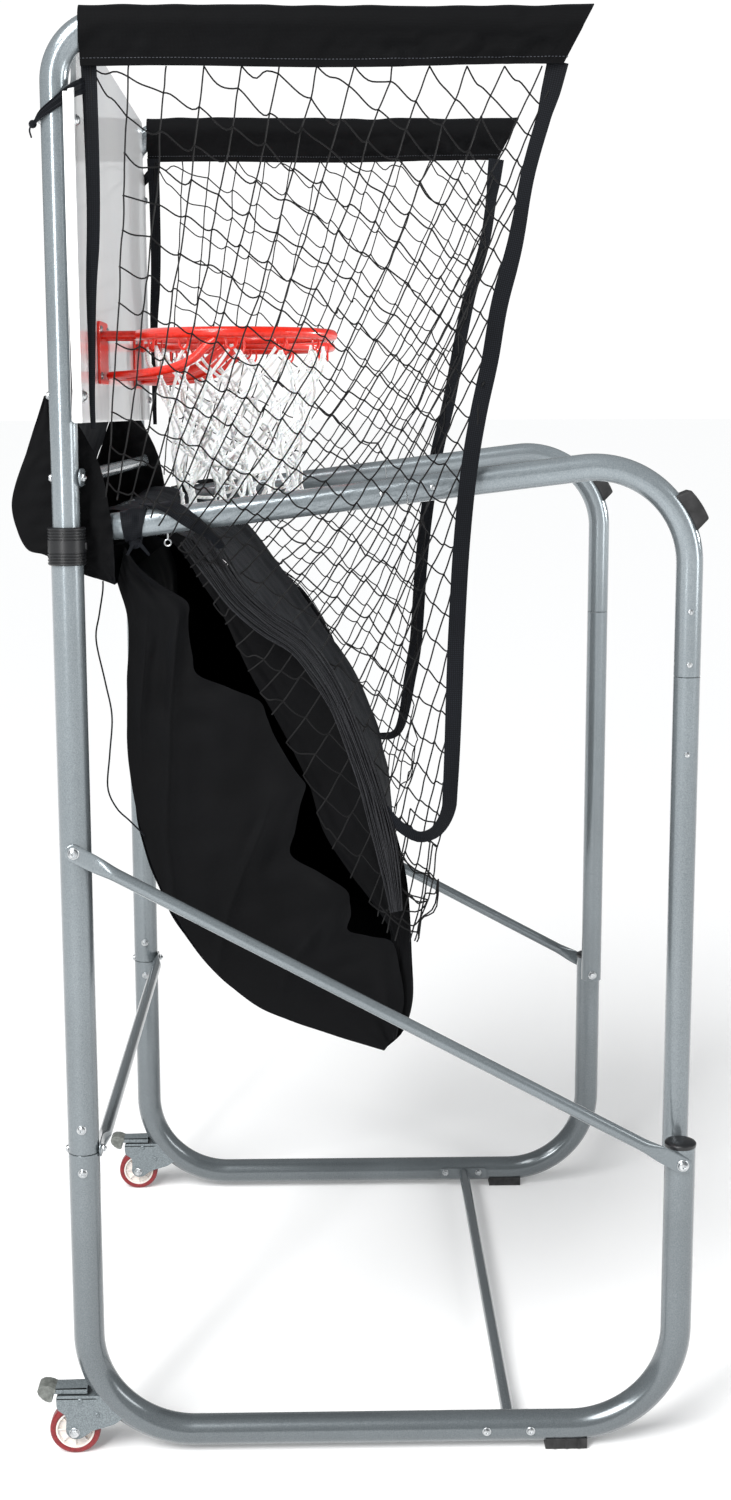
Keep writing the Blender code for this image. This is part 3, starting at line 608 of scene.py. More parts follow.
def dome(centre, axis, radius, height):
    """A round button head with a flat recessed middle."""
    profile = [(0, 0), (radius, 0), (radius, height * 0.25), (radius * 0.86, height * 0.72),
               (radius * 0.5, height), (radius * 0.34, height), (radius * 0.3, height * 0.55),
               (0, height * 0.55)]
    return lathe(profile, centre, axis, 24)


WASHER = 0.0012           # a washer's thickness


def washer(centre, axis, radius):
    """A flat washer with an eased rim."""
    profile = [(0, 0), (radius, 0), (radius, WASHER * 0.7), (radius * 0.95, WASHER),
               (0, WASHER)]
    return lathe(profile, centre, axis, 28)


def through_bolt(centre, axis, front, back, size=0.0065):
    """A button head and washer on one face of a tube, a nut and shank tip on the other."""
    axis = unit(np.array(axis, float))
    centre = np.array(centre, float)
    head, tail = centre + axis * front, centre - axis * back
    return [
        washer(head, axis, size * 1.25), dome(head + axis * WASHER, axis, size, size * 0.62),
        washer(tail, -axis, size * 1.2),
        hexagon(tail - axis * WASHER, -axis, size * 1.75, size * 0.85),
        lathe([(0, 0), (size * 0.46, 0), (size * 0.46, size * 1.25), (size * 0.3, size * 1.5),
               (0, size * 1.5)], tail, -axis, 14),
    ]


# --- main frame ---------------------------------------------------------------
def steel_tube(name, corners, radius, node_name, body="frame", sides=48,
               reference=(1, 0, 0)):
    """A painted tube along a line of (point, bend radius) corners."""
    piece(name, tube(bent(corners), radius, reference, sides), PAINT, body, node_name)


def main_frame(tag, side):
    """One side of the main frame: floor tube, posts, collar, cap, bolts and pivot."""
    x = side * SIDE_X
    corners = [((x, REAR_Y, SEAM_Z - SEAM_GAP), 0), ((x, REAR_Y, BASE_Z), CORNER_R),
               ((x, FRONT_Y, BASE_Z), CORNER_R), ((x, FRONT_Y, FRONT_TOP_Z), 0)]
    steel_tube(f"floor_tube_{tag}", corners, LOWER_R, f"floor_frame_{tag}")
    corners = [((x, REAR_Y, SEAM_Z + SEAM_GAP), 0), ((x, REAR_Y, 1.34), 0)]
    steel_tube(f"lower_post_{tag}", corners, LOWER_R, f"rear_post_{tag}")
    corners = [((x, REAR_Y, 1.342), 0), ((x, REAR_Y, TOP_ARM_Z), TOP_BEND_R),
               ((x, TOP_ARM_END_Y, TOP_ARM_Z), 0)]
    steel_tube(f"top_post_{tag}", corners, UPPER_R, f"upper_post_{tag}")

    # Collar: four grooves above and below a plain band, eased rims.
    low, high = COLLAR_Z
    middle, outer = (low + high) / 2, 0.0265
    profile = [(0.019, low), (outer - 0.0016, low), (outer, low + 0.0015)]
    grooves = (0.0045, 0.0085, 0.0125, 0.0165)
    for level in [low + g for g in grooves] + [high - g for g in grooves[::-1]]:
        profile += [(outer, level - 0.001), (outer - 0.0013, level - 0.0005),
                    (outer - 0.0013, level + 0.0005), (outer, level + 0.001)]
    profile += [(outer, high - 0.0015), (outer - 0.0016, high), (0.019, high)]
    latch = prism(rectangle(-0.0055, middle - 0.005, 0.0055, middle + 0.005),
                  REAR_Y - outer - 0.001, REAR_Y - outer + 0.0025, "y", 0.0015)
    latch = (latch[0] + (x, 0, 0), *latch[1:])
    piece(f"collar_{tag}", [lathe(profile, (x, REAR_Y, 0), (0, 0, 1), 64), latch],
          PLASTIC, "frame", f"post_collar_{tag}")

    cap = [(0, -0.004), (LOWER_R - 0.0005, -0.004), (LOWER_R + 0.0006, 0.0003),
           (LOWER_R + 0.0006, 0.003), (LOWER_R - 0.0012, 0.0052),
           (LOWER_R - 0.006, 0.0068), (0, 0.0078)]
    piece(f"front_cap_{tag}", lathe(cap, (x, FRONT_Y, FRONT_TOP_Z), (0, 0, 1), 48), PLASTIC,
          "frame", f"front_post_cap_{tag}")

    bolts = []
    out, skin = (side, 0, 0), LOWER_R - 0.0006
    for z in (0.5088, 0.4431):
        bolts += through_bolt((x, REAR_Y, z), out, skin, skin, 0.0055)
    for z in (1.91, 1.5495, UPPER_CROSS_Z):
        reach = UPPER_R + (0.0005 if z > 1.5 else 0.003)
        bolts += through_bolt((x, REAR_Y, z), (0, 1, 0), UPPER_R - 0.0006, reach, 0.005)
    bolts += through_bolt((x, REAR_Y, BRACE_REAR_Z), out, LOWER_R + 0.0034, skin,
                          0.0068)
    for y in (-0.1827, -0.2482):
        bolts += through_bolt((x, y, BASE_Z + 0.0015), out, skin, LOWER_R + 0.004, 0.0052)
    bolts += through_bolt((x, REAR_Y, SEAM_Z + 0.004), (0, 1, 0), skin, LOWER_R + 0.003,
                          0.005)
    piece(f"frame_bolts_{tag}", bolts, ZINC, "frame")

    # Pivot: one long bolt through brace, post and leg.
    outer, inner = SIDE_X + LOWER_R + 0.0036, ARM_X - UPPER_R
    pivot = [
        washer((side * outer, FRONT_Y, PIVOT_Z), out, 0.0088),
        dome((side * (outer + WASHER), FRONT_Y, PIVOT_Z), out, 0.0074, 0.005),
        lathe([(0, 0), (0.0038, 0), (0.0038, outer - inner), (0, outer - inner)],
              (side * inner, FRONT_Y, PIVOT_Z), out, 20),
        washer((side * inner, FRONT_Y, PIVOT_Z), (-side, 0, 0), 0.008),
        hexagon((side * (inner - WASHER), FRONT_Y, PIVOT_Z), (-side, 0, 0), 0.0115, 0.005),
    ]
    piece(f"pivot_{tag}", pivot, ZINC, "frame", f"pivot_bolt_{tag}")


def flattened(name, start, stop, flat, nodes, length_flat):
    """A slim round tube pressed flat at both ends. The section is an ellipse whose half
    axes run from (pad half width, pad half thickness) to (radius, radius) on a smooth
    step; the tip's width follows a half circle."""
    start, stop = np.array(start, float), np.array(stop, float)
    run = np.linalg.norm(stop - start)
    along = (stop - start) / run
    pad_w, pad_t = 0.0125, 0.0015
    s = np.unique(np.r_[np.linspace(0, pad_w, 9), np.linspace(pad_w, length_flat, 4),
                        np.linspace(length_flat, length_flat + 0.05, 12), run / 2])
    s = np.unique(np.r_[s, run - s])
    edge = np.minimum(s, run - s)
    t = np.clip((edge - length_flat) / 0.045, 0, 1)
    t = t * t * (3 - 2 * t)
    wide = pad_w + (STRUT_R - pad_w) * t
    thick = pad_t + (STRUT_R - pad_t) * t
    wide = wide * np.sqrt(np.clip(1 - (1 - np.minimum(edge / pad_w, 1)) ** 2, 0.03, 1))
    ring = circle(28)
    box = np.sign(ring) * np.abs(ring) ** (0.55 + 0.45 * t)[:, None, None]
    rings = np.stack([box[..., 0] * wide[:, None], box[..., 1] * thick[:, None]], -1)
    path = start + along * s[:, None]
    points = carried(path, rings, np.cross(flat, along))
    piece(name, grid(points, ring=True, ends=True), PAINT, "frame", nodes)


def struts():
    """The slim tubes: a diagonal brace each side and three tubes from side to side."""
    for tag, side in SIDES:
        x = side * (SIDE_X + LOWER_R + 0.0018)
        rear = np.array((x, REAR_Y, BRACE_REAR_Z))
        front = np.array((x, FRONT_Y, PIVOT_Z))
        along = unit(front - rear)
        flattened(f"brace_{tag}", rear - along * 0.013, front + along * 0.013, (1, 0, 0),
                  f"side_brace_{tag}", 0.038)
        face = side * (SIDE_X - LOWER_R - 0.0003)
        outline = rectangle(BASE_CROSS_Y - 0.046, BASE_Z - 0.01, BASE_CROSS_Y + 0.046,
                            BASE_Z + 0.01)
        piece(f"end_plate_{tag}", prism(outline, face, face - side * 0.004, "x", 0.006),
              PAINT, "frame", f"base_tube_flange_{tag}")
    lower = (SIDE_X + 0.012, REAR_Y - LOWER_R - 0.002, SEAM_Z + 0.004)
    upper = (SIDE_X + 0.012, REAR_Y - UPPER_R - 0.002, UPPER_CROSS_Z)
    for name, (reach, y, z), cad in (("rear_strut", lower, "rear_cross_tube"),
                                     ("upper_strut", upper, "upper_cross_tube")):
        flattened(name, (-reach, y, z), (reach, y, z), (0, 1, 0), cad, 0.03)
    reach = SIDE_X - LOWER_R - 0.0045
    ends = [((-reach, BASE_CROSS_Y, BASE_Z), 0), ((reach, BASE_CROSS_Y, BASE_Z), 0)]
    steel_tube("floor_strut", ends, STRUT_R, "base_cross_tube", sides=28,
               reference=(0, 0, 1))


def feet():
    """A rubber block cradling the floor tube, with three ribs on each flank."""
    for tag, side in SIDES:
        x, reach = side * SIDE_X, LOWER_R + 0.0003
        start = math.asin(0.019 / reach)
        sweep = np.linspace(start, -start, 15)
        saddle = np.stack([x + reach * np.sin(sweep), BASE_Z - reach * np.cos(sweep)], 1)
        wing = 0.0205
        base = np.array([(x - wing + 0.003, 0), (x + wing - 0.003, 0), (x + wing, 0.004),
                         (x + wing, 0.018)])
        left = np.array([(x - wing, 0.018), (x - wing, 0.004)])
        outline = np.vstack([base, saddle, left])
        shapes = [prism(outline, FOOT_Y - 0.031, FOOT_Y + 0.031, "y")]
        for y in (-0.018, 0, 0.018):
            for edge in (-1, 1):
                rib = rectangle(x + edge * (wing + 0.0008), 0.002,
                                x + edge * (wing - 0.002), 0.016)
                shapes.append(prism(rib, FOOT_Y + y - 0.002, FOOT_Y + y + 0.002, "y"))
        piece(f"rubber_foot_{tag}", shapes, RUBBER, "frame", f"floor_foot_{tag}",
              bevel=0.0012)


# --- casters ------------------------------------------------------------------
def caster(tag, side):
    """A fixed caster: folded bracket, wheel on its axle, and a brake that turns."""
    x = side * SIDE_X
    half, sheet = 0.0195, 0.0025
    plate = [(0.455, 0.0951), (0.38, 0.0951), (0.35, 0.064), (0.37, 0.049),
             (0.402, 0.04), (0.42, 0.0268), (0.433, 0.0268), (0.442, 0.036),
             (0.44, 0.064), (0.4545, 0.074)]
    plate = eased(np.array(plate), 0.006)
    shapes = [prism(plate, x - half, x - half + sheet), prism(plate, x + half - sheet, x + half)]
    shapes.append(prism(rectangle(x - half, 0.0895, x + half, 0.092), 0.395, 0.4548, "y"))
    for y, z in ((0.4195, 0.088), (0.395, 0.065)):
        for edge in (-1, 1):
            shapes.append(dome((x + edge * half, y, z), (edge, 0, 0), 0.0042, 0.002))
    piece(f"bracket_{tag}", shapes, SHEET_STEEL, "frame", f"caster_bracket_{tag}",
          bevel=0.0006)
    centre = (x, WHEEL_Y, WHEEL_R)
    rim, w = 0.029, 0.012
    turn = np.radians(np.linspace(0, 90, 7))
    edge = [(WHEEL_R - 0.004 + 0.004 * math.sin(a), -w + 0.004 - 0.004 * math.cos(a))
            for a in turn]
    tread = [(rim, -w + 0.001), (rim + 0.0015, -w), *edge]
    tread += [(r, -d) for r, d in tread[::-1]]
    piece(f"tread_{tag}", lathe(tread, centre, (1, 0, 0), 72), "dark_red_tyre",
          f"wheel_{tag}", f"caster_tyre_{tag}")
    hub = [(0.0043, -0.0145), (0.0095, -0.0145), (0.0105, -0.0135), (0.011, -0.0075),
           (0.017, -0.0062), (0.0245, -0.0075), (0.0262, -0.0113), (0.0287, -0.0113)]
    hub += [(r, -d) for r, d in hub[::-1]]
    ribs = []
    for k in range(8):
        angle = k * math.pi / 4
        out = np.array((0, math.cos(angle), math.sin(angle)))
        side_way = np.cross((1, 0, 0), out)
        for face in (-1, 1):
            a, b = (np.array(centre) + out * r + np.array((face * d, 0, 0))
                    for r, d in ((0.0105, 0.008), (0.0255, 0.0082)))
            ring = rectangle(-0.0009, -0.0018, 0.0009, 0.0018)
            ribs.append(grid(carried(np.array([a, b]), ring, side_way), ring=True, ends=True))
    piece(f"hub_{tag}", [lathe(hub, centre, (1, 0, 0), 56), *ribs], "off_white_nylon",
          f"wheel_{tag}", f"caster_hub_{tag}")
    axle = [washer((x + e * half, WHEEL_Y, WHEEL_R), (e, 0, 0), 0.0078) for e in (-1, 1)]
    axle += [hexagon((x + e * (half + WASHER), WHEEL_Y, WHEEL_R), (e, 0, 0), 0.0112, 0.0042)
             for e in (-1, 1)]
    axle.append(lathe([(0, -0.0255), (0.003, -0.0255), (0.0038, -0.024), (0.0038, 0.024),
                       (0.003, 0.0255), (0, 0.0255)], centre, (1, 0, 0), 20))
    piece(f"axle_{tag}", axle, ZINC, "frame", f"caster_axle_{tag}")

    # Brake: a steel lever with a slot and pin, and a ribbed pad that turns down.
    lever = rectangle(0.409, 0.0963, 0.46, 0.105)
    wide = 0.014
    bar = [prism(lever, x - wide, x - wide + 0.002), prism(lever, x + wide - 0.002, x + wide)]
    bar.append(prism(rectangle(x - wide, 0.1028, x + wide, 0.105), 0.409, 0.46, "y"))
    bar.append(lathe([(0, -wide - 0.0012), (0.0026, -wide - 0.0012), (0.0026, wide + 0.0012),
                      (0, wide + 0.0012)], (x, 0.447, 0.1006), (1, 0, 0), 16))
    t = np.linspace(0, 1, 22)
    crown = smooth([(0.456, 0.1052), (0.4625, 0.1082), (0.47, 0.1096), (0.4775, 0.1084),
                    (0.4822, 0.1046), (0.483, 0.099), (0.48, 0.093), (0.4745, 0.0872),
                    (0.468, 0.0836), (0.463, 0.0836)], len(t))
    inner = smooth([(0.456, 0.099), (0.458, 0.098), (0.46, 0.096), (0.4606, 0.093),
                    (0.4606, 0.09), (0.4608, 0.088), (0.4612, 0.0862), (0.4618, 0.085),
                    (0.4622, 0.0842), (0.4626, 0.0838)], len(t))
    ridge = 0.0006 * (np.sin(t * 2 * math.pi * 9) > 0)
    outline = np.vstack([crown - ridge[:, None] * unit(crown - inner), inner[::-1]])
    pad = prism(outline, x - 0.0148, x + 0.0148)
    piece(f"pedal_lever_{tag}", bar, SHEET_STEEL, f"pedal_{tag}", bevel=0.0005)
    piece(f"pedal_pad_{tag}", pad, "grey_pedal_plastic", f"pedal_{tag}",
          f"brake_pedal_{tag}", bevel=0.0006)


# --- folding frame ------------------------------------------------------------
ELBOW_Y, ELBOW_Z = FRONT_Y + ELBOW_R, ELBOW_TOP_Z - ELBOW_R


def arm_height(y):
    """Height of the folded arm's centre line, which slopes down towards the rear."""
    foot_y = ELBOW_Y + ELBOW_R * math.sin(ARM_SLOPE)
    foot_z = ELBOW_Z + ELBOW_R * math.cos(ARM_SLOPE)
    return foot_z - (y - foot_y) * math.tan(ARM_SLOPE)


def folding_frame():
    """The frame that folds: two legs with bent elbows, and one bar round the rear."""
    for tag, side in SIDES:
        x = side * ARM_X
        corners = [((x, FRONT_Y, 0.4345), 0), ((x, FRONT_Y, LEG_SEAM_Z - SEAM_GAP), 0)]
        steel_tube(f"leg_{tag}", corners, UPPER_R, f"folding_leg_{tag}", "front_frame", 44)
        corners = [((x, FRONT_Y, LEG_SEAM_Z + SEAM_GAP), 0),
                   ((x, FRONT_Y, arm_height(FRONT_Y)), ELBOW_R),
                   ((x, ARM_SEAM_Y - SEAM_GAP, arm_height(ARM_SEAM_Y)), 0)]
        steel_tube(f"elbow_{tag}", corners, UPPER_R, f"folding_elbow_{tag}", "front_frame",
                   44)
        pads(tag, x)
        spots = [(FRONT_Y, z) for z in (1.248, 1.173, 1.044)]
        spots += [(y, arm_height(y)) for y in (-0.03, -0.1)]
        screws = [dome((x + side * (UPPER_R - 0.0008), *spot), (side, 0, 0), 0.0042, 0.0022)
                  for spot in spots]
        screws += eye_screw((x, 0.27, arm_height(0.27) - UPPER_R))
        piece(f"arm_screws_{tag}", screws, ZINC, "front_frame")
    corners = []
    for side in (-1, 1):
        seam = ((side * ARM_X, ARM_SEAM_Y + SEAM_GAP, arm_height(ARM_SEAM_Y)), 0)
        corner = ((side * ARM_X, CROSSBAR_Y, arm_height(CROSSBAR_Y)), CROSSBAR_CORNER_R)
        corners += [seam, corner] if side < 0 else [corner, seam]
    tilt = (0, math.sin(ARM_SLOPE), math.cos(ARM_SLOPE))
    steel_tube("rear_bar", corners, UPPER_R, "folding_crossbar", "front_frame", 44, tilt)


def eye_screw(top):
    """A short stem with a ring under it."""
    x, y, z = top
    turn = np.linspace(0, 2 * math.pi, 25)[:-1]
    ring = np.stack([np.full(24, x), y + 0.0045 * np.sin(turn), z - 0.0125
                     + 0.0045 * np.cos(turn)], 1)
    closed = np.vstack([ring, ring[:1]])
    return [tube(closed, 0.0011, (1, 0, 0), 8),
            tube([(x, y, z + 0.002), (x, y, z - 0.0085)], 0.0012, (1, 0, 0), 8)]


def pads(tag, x):
    """A rubber bumper on the elbow's outside: an arc-bottomed wedge with eased edges."""
    lean = math.radians(34)
    out = np.array((-math.cos(lean), math.sin(lean)))
    along = np.array((math.sin(lean), math.cos(lean)))
    centre = (np.array((ELBOW_Y, ELBOW_Z)) + out * (ELBOW_R + UPPER_R - 0.0006)
              - along * 0.011)
    bow = ELBOW_R + UPPER_R
    s = np.linspace(-0.029, 0.029, 13)[:, None]
    low = centre + along * s - out * (0.0062 + bow - np.sqrt(bow**2 - s**2))
    s = np.linspace(0.024, -0.024, 9)[:, None]
    high = centre + along * s + out * (0.0165 - 4.0 * s**2)
    body = prism(np.vstack([low, high]), x - 0.0165, x + 0.0165)
    screw = dome((x, *(centre + out * 0.016)), (0, *out), 0.0045, 0.0012)
    piece(f"bumper_{tag}", body, RUBBER, "front_frame", f"folding_pad_{tag}",
          bevel=0.0022)
    piece(f"bumper_screw_{tag}", screw, PLASTIC, "front_frame")


# --- board and hoops ----------------------------------------------------------
def board():
    """A thin panel with eased corners, stepped in at the top to clear the posts' bends,
    and a moulded rim that turns back along its sides and lower edge."""
    low, high = BOARD_Z
    start, stop = BOARD_SHOULDER_Z
    right = [(BOARD_HALF, low), (BOARD_HALF, start), (BOARD_TOP_HALF, stop),
             (BOARD_TOP_HALF, high)]
    outline = np.array(right + [(-x, z) for x, z in right[::-1]])
    piece("board", prism(outline, *BOARD_Y, "y", 0.01), "glossy_white_board", "frame",
          "backboard", bevel=0.001)
    # The side rims: a strip 14.5 mm deep with a rounded lower corner.
    front, back = BOARD_Y[0] - 0.0002, BOARD_Y[0] + 0.0143
    turn = np.linspace(0, math.pi / 2, 8)
    foot = np.stack([back - 0.006 + 0.006 * np.cos(turn[::-1]),
                     low + 0.006 - 0.006 * np.sin(turn[::-1])], 1)[::-1]
    side_rim = np.vstack([[(front, low), (back - 0.006, low)], foot[::-1],
                          [(back, start - 0.002), (front, start - 0.002)]])
    rims = [prism(side_rim, e * (BOARD_HALF + 0.0002), e * (BOARD_HALF - 0.0024))
            for e in (-1, 1)]
    piece("board_rims", rims, "board_edge", "frame", bevel=0.0006)
    bolts = []
    for edge in (-1, 1):
        for z in (1.91, 1.5495):
            spot = (edge * SIDE_X, BOARD_Y[0], z)
            bolts += [washer(spot, (0, -1, 0), 0.0085),
                      dome((spot[0], spot[1] - WASHER, z), (0, -1, 0), 0.0065, 0.0042)]
    piece("board_bolts", bolts, ZINC, "frame")


def hoop(tag, side):
    """A hoop on its plate: ring with two stubs, and a lower loop that braces it."""
    x = side * RIM_X
    turn = np.linspace(0, 2 * math.pi, 97)[:-1]
    ring = np.stack([x + RIM_RING_R * np.cos(turn), RIM_Y + RIM_RING_R * np.sin(turn),
                     np.full(96, RIM_Z)], 1)
    ring_tube = hoop_tube(ring, RIM_ROD_R)
    face = BOARD_Y[0] - 0.0003
    struts_in = []
    for dx in (-0.036, 0.036):
        struts_in.append(tube([(x + dx, RIM_Y + math.sqrt(RIM_RING_R**2 - dx**2), RIM_Z),
                               (x + dx, face - 0.003, RIM_Z)], 0.0062, (1, 0, 0), 20))
    low = RIM_Z - RIM_ROD_R - 0.0062
    half = np.array([(-0.14, 0.022, low + 0.004), (-0.1395, 0.036, low - 0.006),
                     (-0.137, 0.054, low - 0.022), (-0.129, 0.083, low - 0.035),
                     (-0.11, 0.112, low - 0.04), (-0.075, 0.146, low - 0.043),
                     (-0.035, 0.174, low - 0.044), (0, 0.184, low - 0.044)])
    whole = np.vstack([half, half[-2::-1] * (-1, 1, 1)]) + (x, RIM_Y, 0)
    loop = tube(smooth(whole, 72), 0.0064, (0, 0, 1), 20)
    piece(f"hoop_{tag}", [ring_tube, *struts_in], ENAMEL, "frame", f"rim_{tag}")
    piece(f"hoop_loop_{tag}", loop, ENAMEL, "frame", f"rim_brace_{tag}")
    plate = rectangle(x - 0.055, 1.568, x + 0.055, 1.658)
    bolts = []
    for dx, z in ((-0.042, 1.58), (0.042, 1.58), (-0.042, 1.646), (0.042, 1.646)):
        bolts.append(dome((x + dx, face - 0.004, z), (0, -1, 0), 0.0055, 0.0032))
        bolts.append(hexagon((x + dx, BOARD_Y[1], z), (0, 1, 0), 0.01, 0.0045))
    piece(f"hoop_plate_{tag}", prism(plate, face - 0.004, face, "y", 0.008),
          ENAMEL, "frame", f"rim_plate_{tag}", bevel=0.0008)
    piece(f"hoop_bolts_{tag}", bolts, ZINC, "frame")
    hoop_net(tag, x)


def hoop_tube(ring, radius):
    """A round tube round a flat closed ring: out and up directions at every point."""
    centre = ring.mean(axis=0)
    out = unit(ring - centre)
    spin = circle(22) * radius
    points = ring[:, None] + spin[None, :, :1] * out[:, None] + spin[None, :, 1:] * (0, 0, 1)
    return grid(points, ring=True, loop=True)


NET_COLUMNS = 12
NET_RINGS = [(1.621, 0.129), (1.58, 0.118), (1.538, 0.104), (1.496, 0.09),
             (1.456, 0.079), (1.418, 0.072)]


def hoop_net(tag, x):
    """A limp knotted net on cylinder coordinates: knot (j, i) is at angle
    2 pi (i + j / 2) / columns on ring j, pushed about by smooth noise; each cord is a
    curve from knot to knot that sags outwards and down."""
    seed = 11 if x < 0 else 29
    rows = np.arange(len(NET_RINGS))
    heights = np.array(NET_RINGS)[:, 0][:, None]
    radii = np.array(NET_RINGS)[:, 1][:, None]
    turn = (np.arange(NET_COLUMNS)[None] + rows[:, None] / 2) * 2 * math.pi / NET_COLUMNS
    knots = np.stack([x + radii * np.cos(turn), RIM_Y + radii * np.sin(turn),
                      heights + 0 * turn], -1)
    loose = (rows / rows[-1])[:, None, None]
    drift = np.stack([ripple(knots, 0.07, seed + k) for k in range(3)], -1)
    knots = knots + drift * loose * np.array((0.018, 0.02, 0.014))
    ends = []
    for step in (0, -1):
        ends.append((knots[:-1], np.roll(knots, -step, axis=1)[1:]))
    a = np.concatenate([e[0].reshape(-1, 3) for e in ends])
    b = np.concatenate([e[1].reshape(-1, 3) for e in ends])
    t = np.linspace(0, 1, 9)[None, :, None]
    middle = (a + b) / 2
    out = unit((middle - (x, RIM_Y, 0)) * (1, 1, 0))
    sway = ripple(middle, 0.05, seed + 7)[:, None]
    bow = out * (0.004 + 0.004 * sway) - np.array((0, 0, 0.003))
    paths = a[:, None] * (1 - t) + b[:, None] * t + 4 * t * (1 - t) * bow[:, None]
    cords = strands(paths, 0.0023, 8)
    blob = lathe([(0, -0.0042), (0.0026, -0.0034), (0.004, 0), (0.0026, 0.0034),
                  (0, 0.0042)], (0, 0, 0), (0, 0, 1), 8)
    # Loops hang from the last ring, and pairs of cords hold the first ring to the hooks.
    last, following = knots[-1], np.roll(knots[-1], -1, axis=0)
    s = np.linspace(0, 1, 13)[None, :, None]
    droop = 0.024 + 0.014 * ripple(last, 0.05, seed + 9)[:, None, None]
    droop = droop + 0.03 * np.clip((last[:, 1] - RIM_Y) / 0.07, 0, 1)[:, None, None]
    hems = last[:, None] * (1 - s) + following[:, None] * s
    hems = hems - 4 * s * (1 - s) * droop * (0, 0, 1)
    hems = hems + 4 * s * (1 - s) * 0.01 * np.sin(2 * math.pi * s) * (1, 0.6, 0)
    piece(f"net_{tag}", [cords, scattered(blob, placed(knots[1:].reshape(-1, 3))),
                         strands(hems, 0.0024, 8)],
          "white_braid", "frame", f"rim_net_{tag}")
    hooks = []
    for k in range(NET_COLUMNS):
        angle = k * 2 * math.pi / NET_COLUMNS
        out = np.array((math.cos(angle), math.sin(angle), 0))
        across = np.array((-out[1], out[0], 0))
        spot = np.array((x, RIM_Y, RIM_Z)) + out * (RIM_RING_R - 0.006)
        curl = np.linspace(-0.2, 1.2, 12)[:, None] * math.pi
        drop = np.array((0, 0, RIM_ROD_R + 0.002))
        path = spot - drop - np.sin(curl) * (0, 0, 0.013) + np.cos(curl) * across * 0.008
        hooks.append(path)
    piece(f"net_hooks_{tag}", strands(np.array(hooks), 0.0019, 7), ENAMEL,
          "frame")


# --- cloth: sleeves, bands, nets ----------------------------------------------
def sleeve(tag, side):
    """A cloth pocket over the top arm. Across, the section runs round the arm and down
    both faces to a sewn lower edge; along, it wrinkles towards the open front corner."""
    x = side * SIDE_X
    across, along = 61, 121
    v = np.linspace(-1, 1, across)[None]
    t = np.linspace(0, 1, along)[:, None]
    rear, front_top, front_low = 0.37, -0.31, -0.269
    y_top = rear + (front_top - rear) * t
    y_low = rear + (front_low - rear) * t
    hem = 1.979 + 0.0035 * t**4 + 0.0012 * np.sin(9 * t)
    # Section: |v| < over is the arc over the arm, beyond it the two faces hang.
    over = 0.45
    arc = np.clip(v / over, -1, 1) * math.radians(104)
    drop = np.clip((np.abs(v) - over) / (1 - over), 0, 1)
    radius = UPPER_R + 0.0022 + 0.0008 * np.sin(7 * t) + 0.0012 * t**6
    arc_x, arc_z = radius * np.sin(arc), TOP_ARM_Z + radius * np.cos(arc)
    foot_x = np.sign(v) * 0.0022
    px = arc_x * (1 - drop) ** 1.25 + foot_x * (1 - (1 - drop) ** 1.25)
    pz = arc_z * (1 - drop) + hem * drop
    py = y_top + (y_low - y_top) * np.clip((TOP_ARM_Z + radius - pz) / 0.078, 0, 1)
    # Behind the bend the arm drops, so the rear end stays open and round below.
    points = np.stack([x + px + 0 * py, py + 0 * px, pz + 0 * py], -1)
    seed = 3 if side < 0 else 5
    slack = np.clip(drop, 0, 1) * (1 - drop) * 4
    press = 0.3 + 0.9 * np.exp(-((t - 0.8) / 0.22) ** 2)
    wave = ripple(points * (1, 1.0, 0.8), 0.05, seed) + 0.6 * ripple(points, 0.024, seed + 1)
    crease = np.abs(np.sin((points[..., 1] * 34 + points[..., 2] * 46) + wave)) ** 6
    lift = (0.0022 * wave - 0.003 * crease) * press * (0.25 + slack)
    points[..., 0] += np.sign(v) * lift * (np.abs(v) > 0.2)
    # Where the cloth would sink into the arm it is pushed back out to its skin.
    off_x, off_z = points[..., 0] - x, points[..., 2] - TOP_ARM_Z
    reach = np.hypot(off_x, off_z)
    skin_r, bend_y = UPPER_R + 0.0018, REAR_Y - TOP_BEND_R
    straight = points[..., 1] < bend_y
    push = np.where(straight & (reach < skin_r), skin_r / reach, 1.0)
    points[..., 0], points[..., 2] = x + off_x * push, TOP_ARM_Z + off_z * push
    from_arm = np.hypot(points[..., 1] - bend_y, points[..., 2] - TOP_ARM_Z + TOP_BEND_R)
    from_arm = from_arm - TOP_BEND_R
    clear = np.sqrt(np.clip(skin_r**2 - from_arm**2, 0, None))
    sunk = ~straight & (np.abs(points[..., 0] - x) < clear) & (np.abs(v) > 0.05)
    points[..., 0] = np.where(sunk, x + np.sign(v) * clear, points[..., 0])
    points[..., 2] += 0.001 * ripple(points, 0.09, seed + 2) * (drop < 0.05)
    # Double seam 9 mm above the lower edge.
    seam = np.exp(-((pz - hem - 0.01) / 0.0012) ** 2)
    points[..., 0] -= np.sign(v) * 0.0009 * seam
    made = piece(f"sleeve_{tag}", cloth(points, 0.0009), FABRIC, "frame",
                 f"top_sleeve_{tag}", sharp=60)
    stitches(f"sleeve_stitches_{tag}", points, (3, across - 4), "frame")
    # The front end is closed by a folded lid.
    rim = points[-1]
    centre = rim.mean(axis=0)
    s = np.linspace(0, 1, 8)[:, None, None]
    lid = rim[None] * (1 - s) + centre * s
    lid[..., 1] += 0.004 * s[..., 0]
    lid = piece(f"sleeve_end_{tag}", cloth(lid[:-1], 0.0008), FABRIC, "frame")


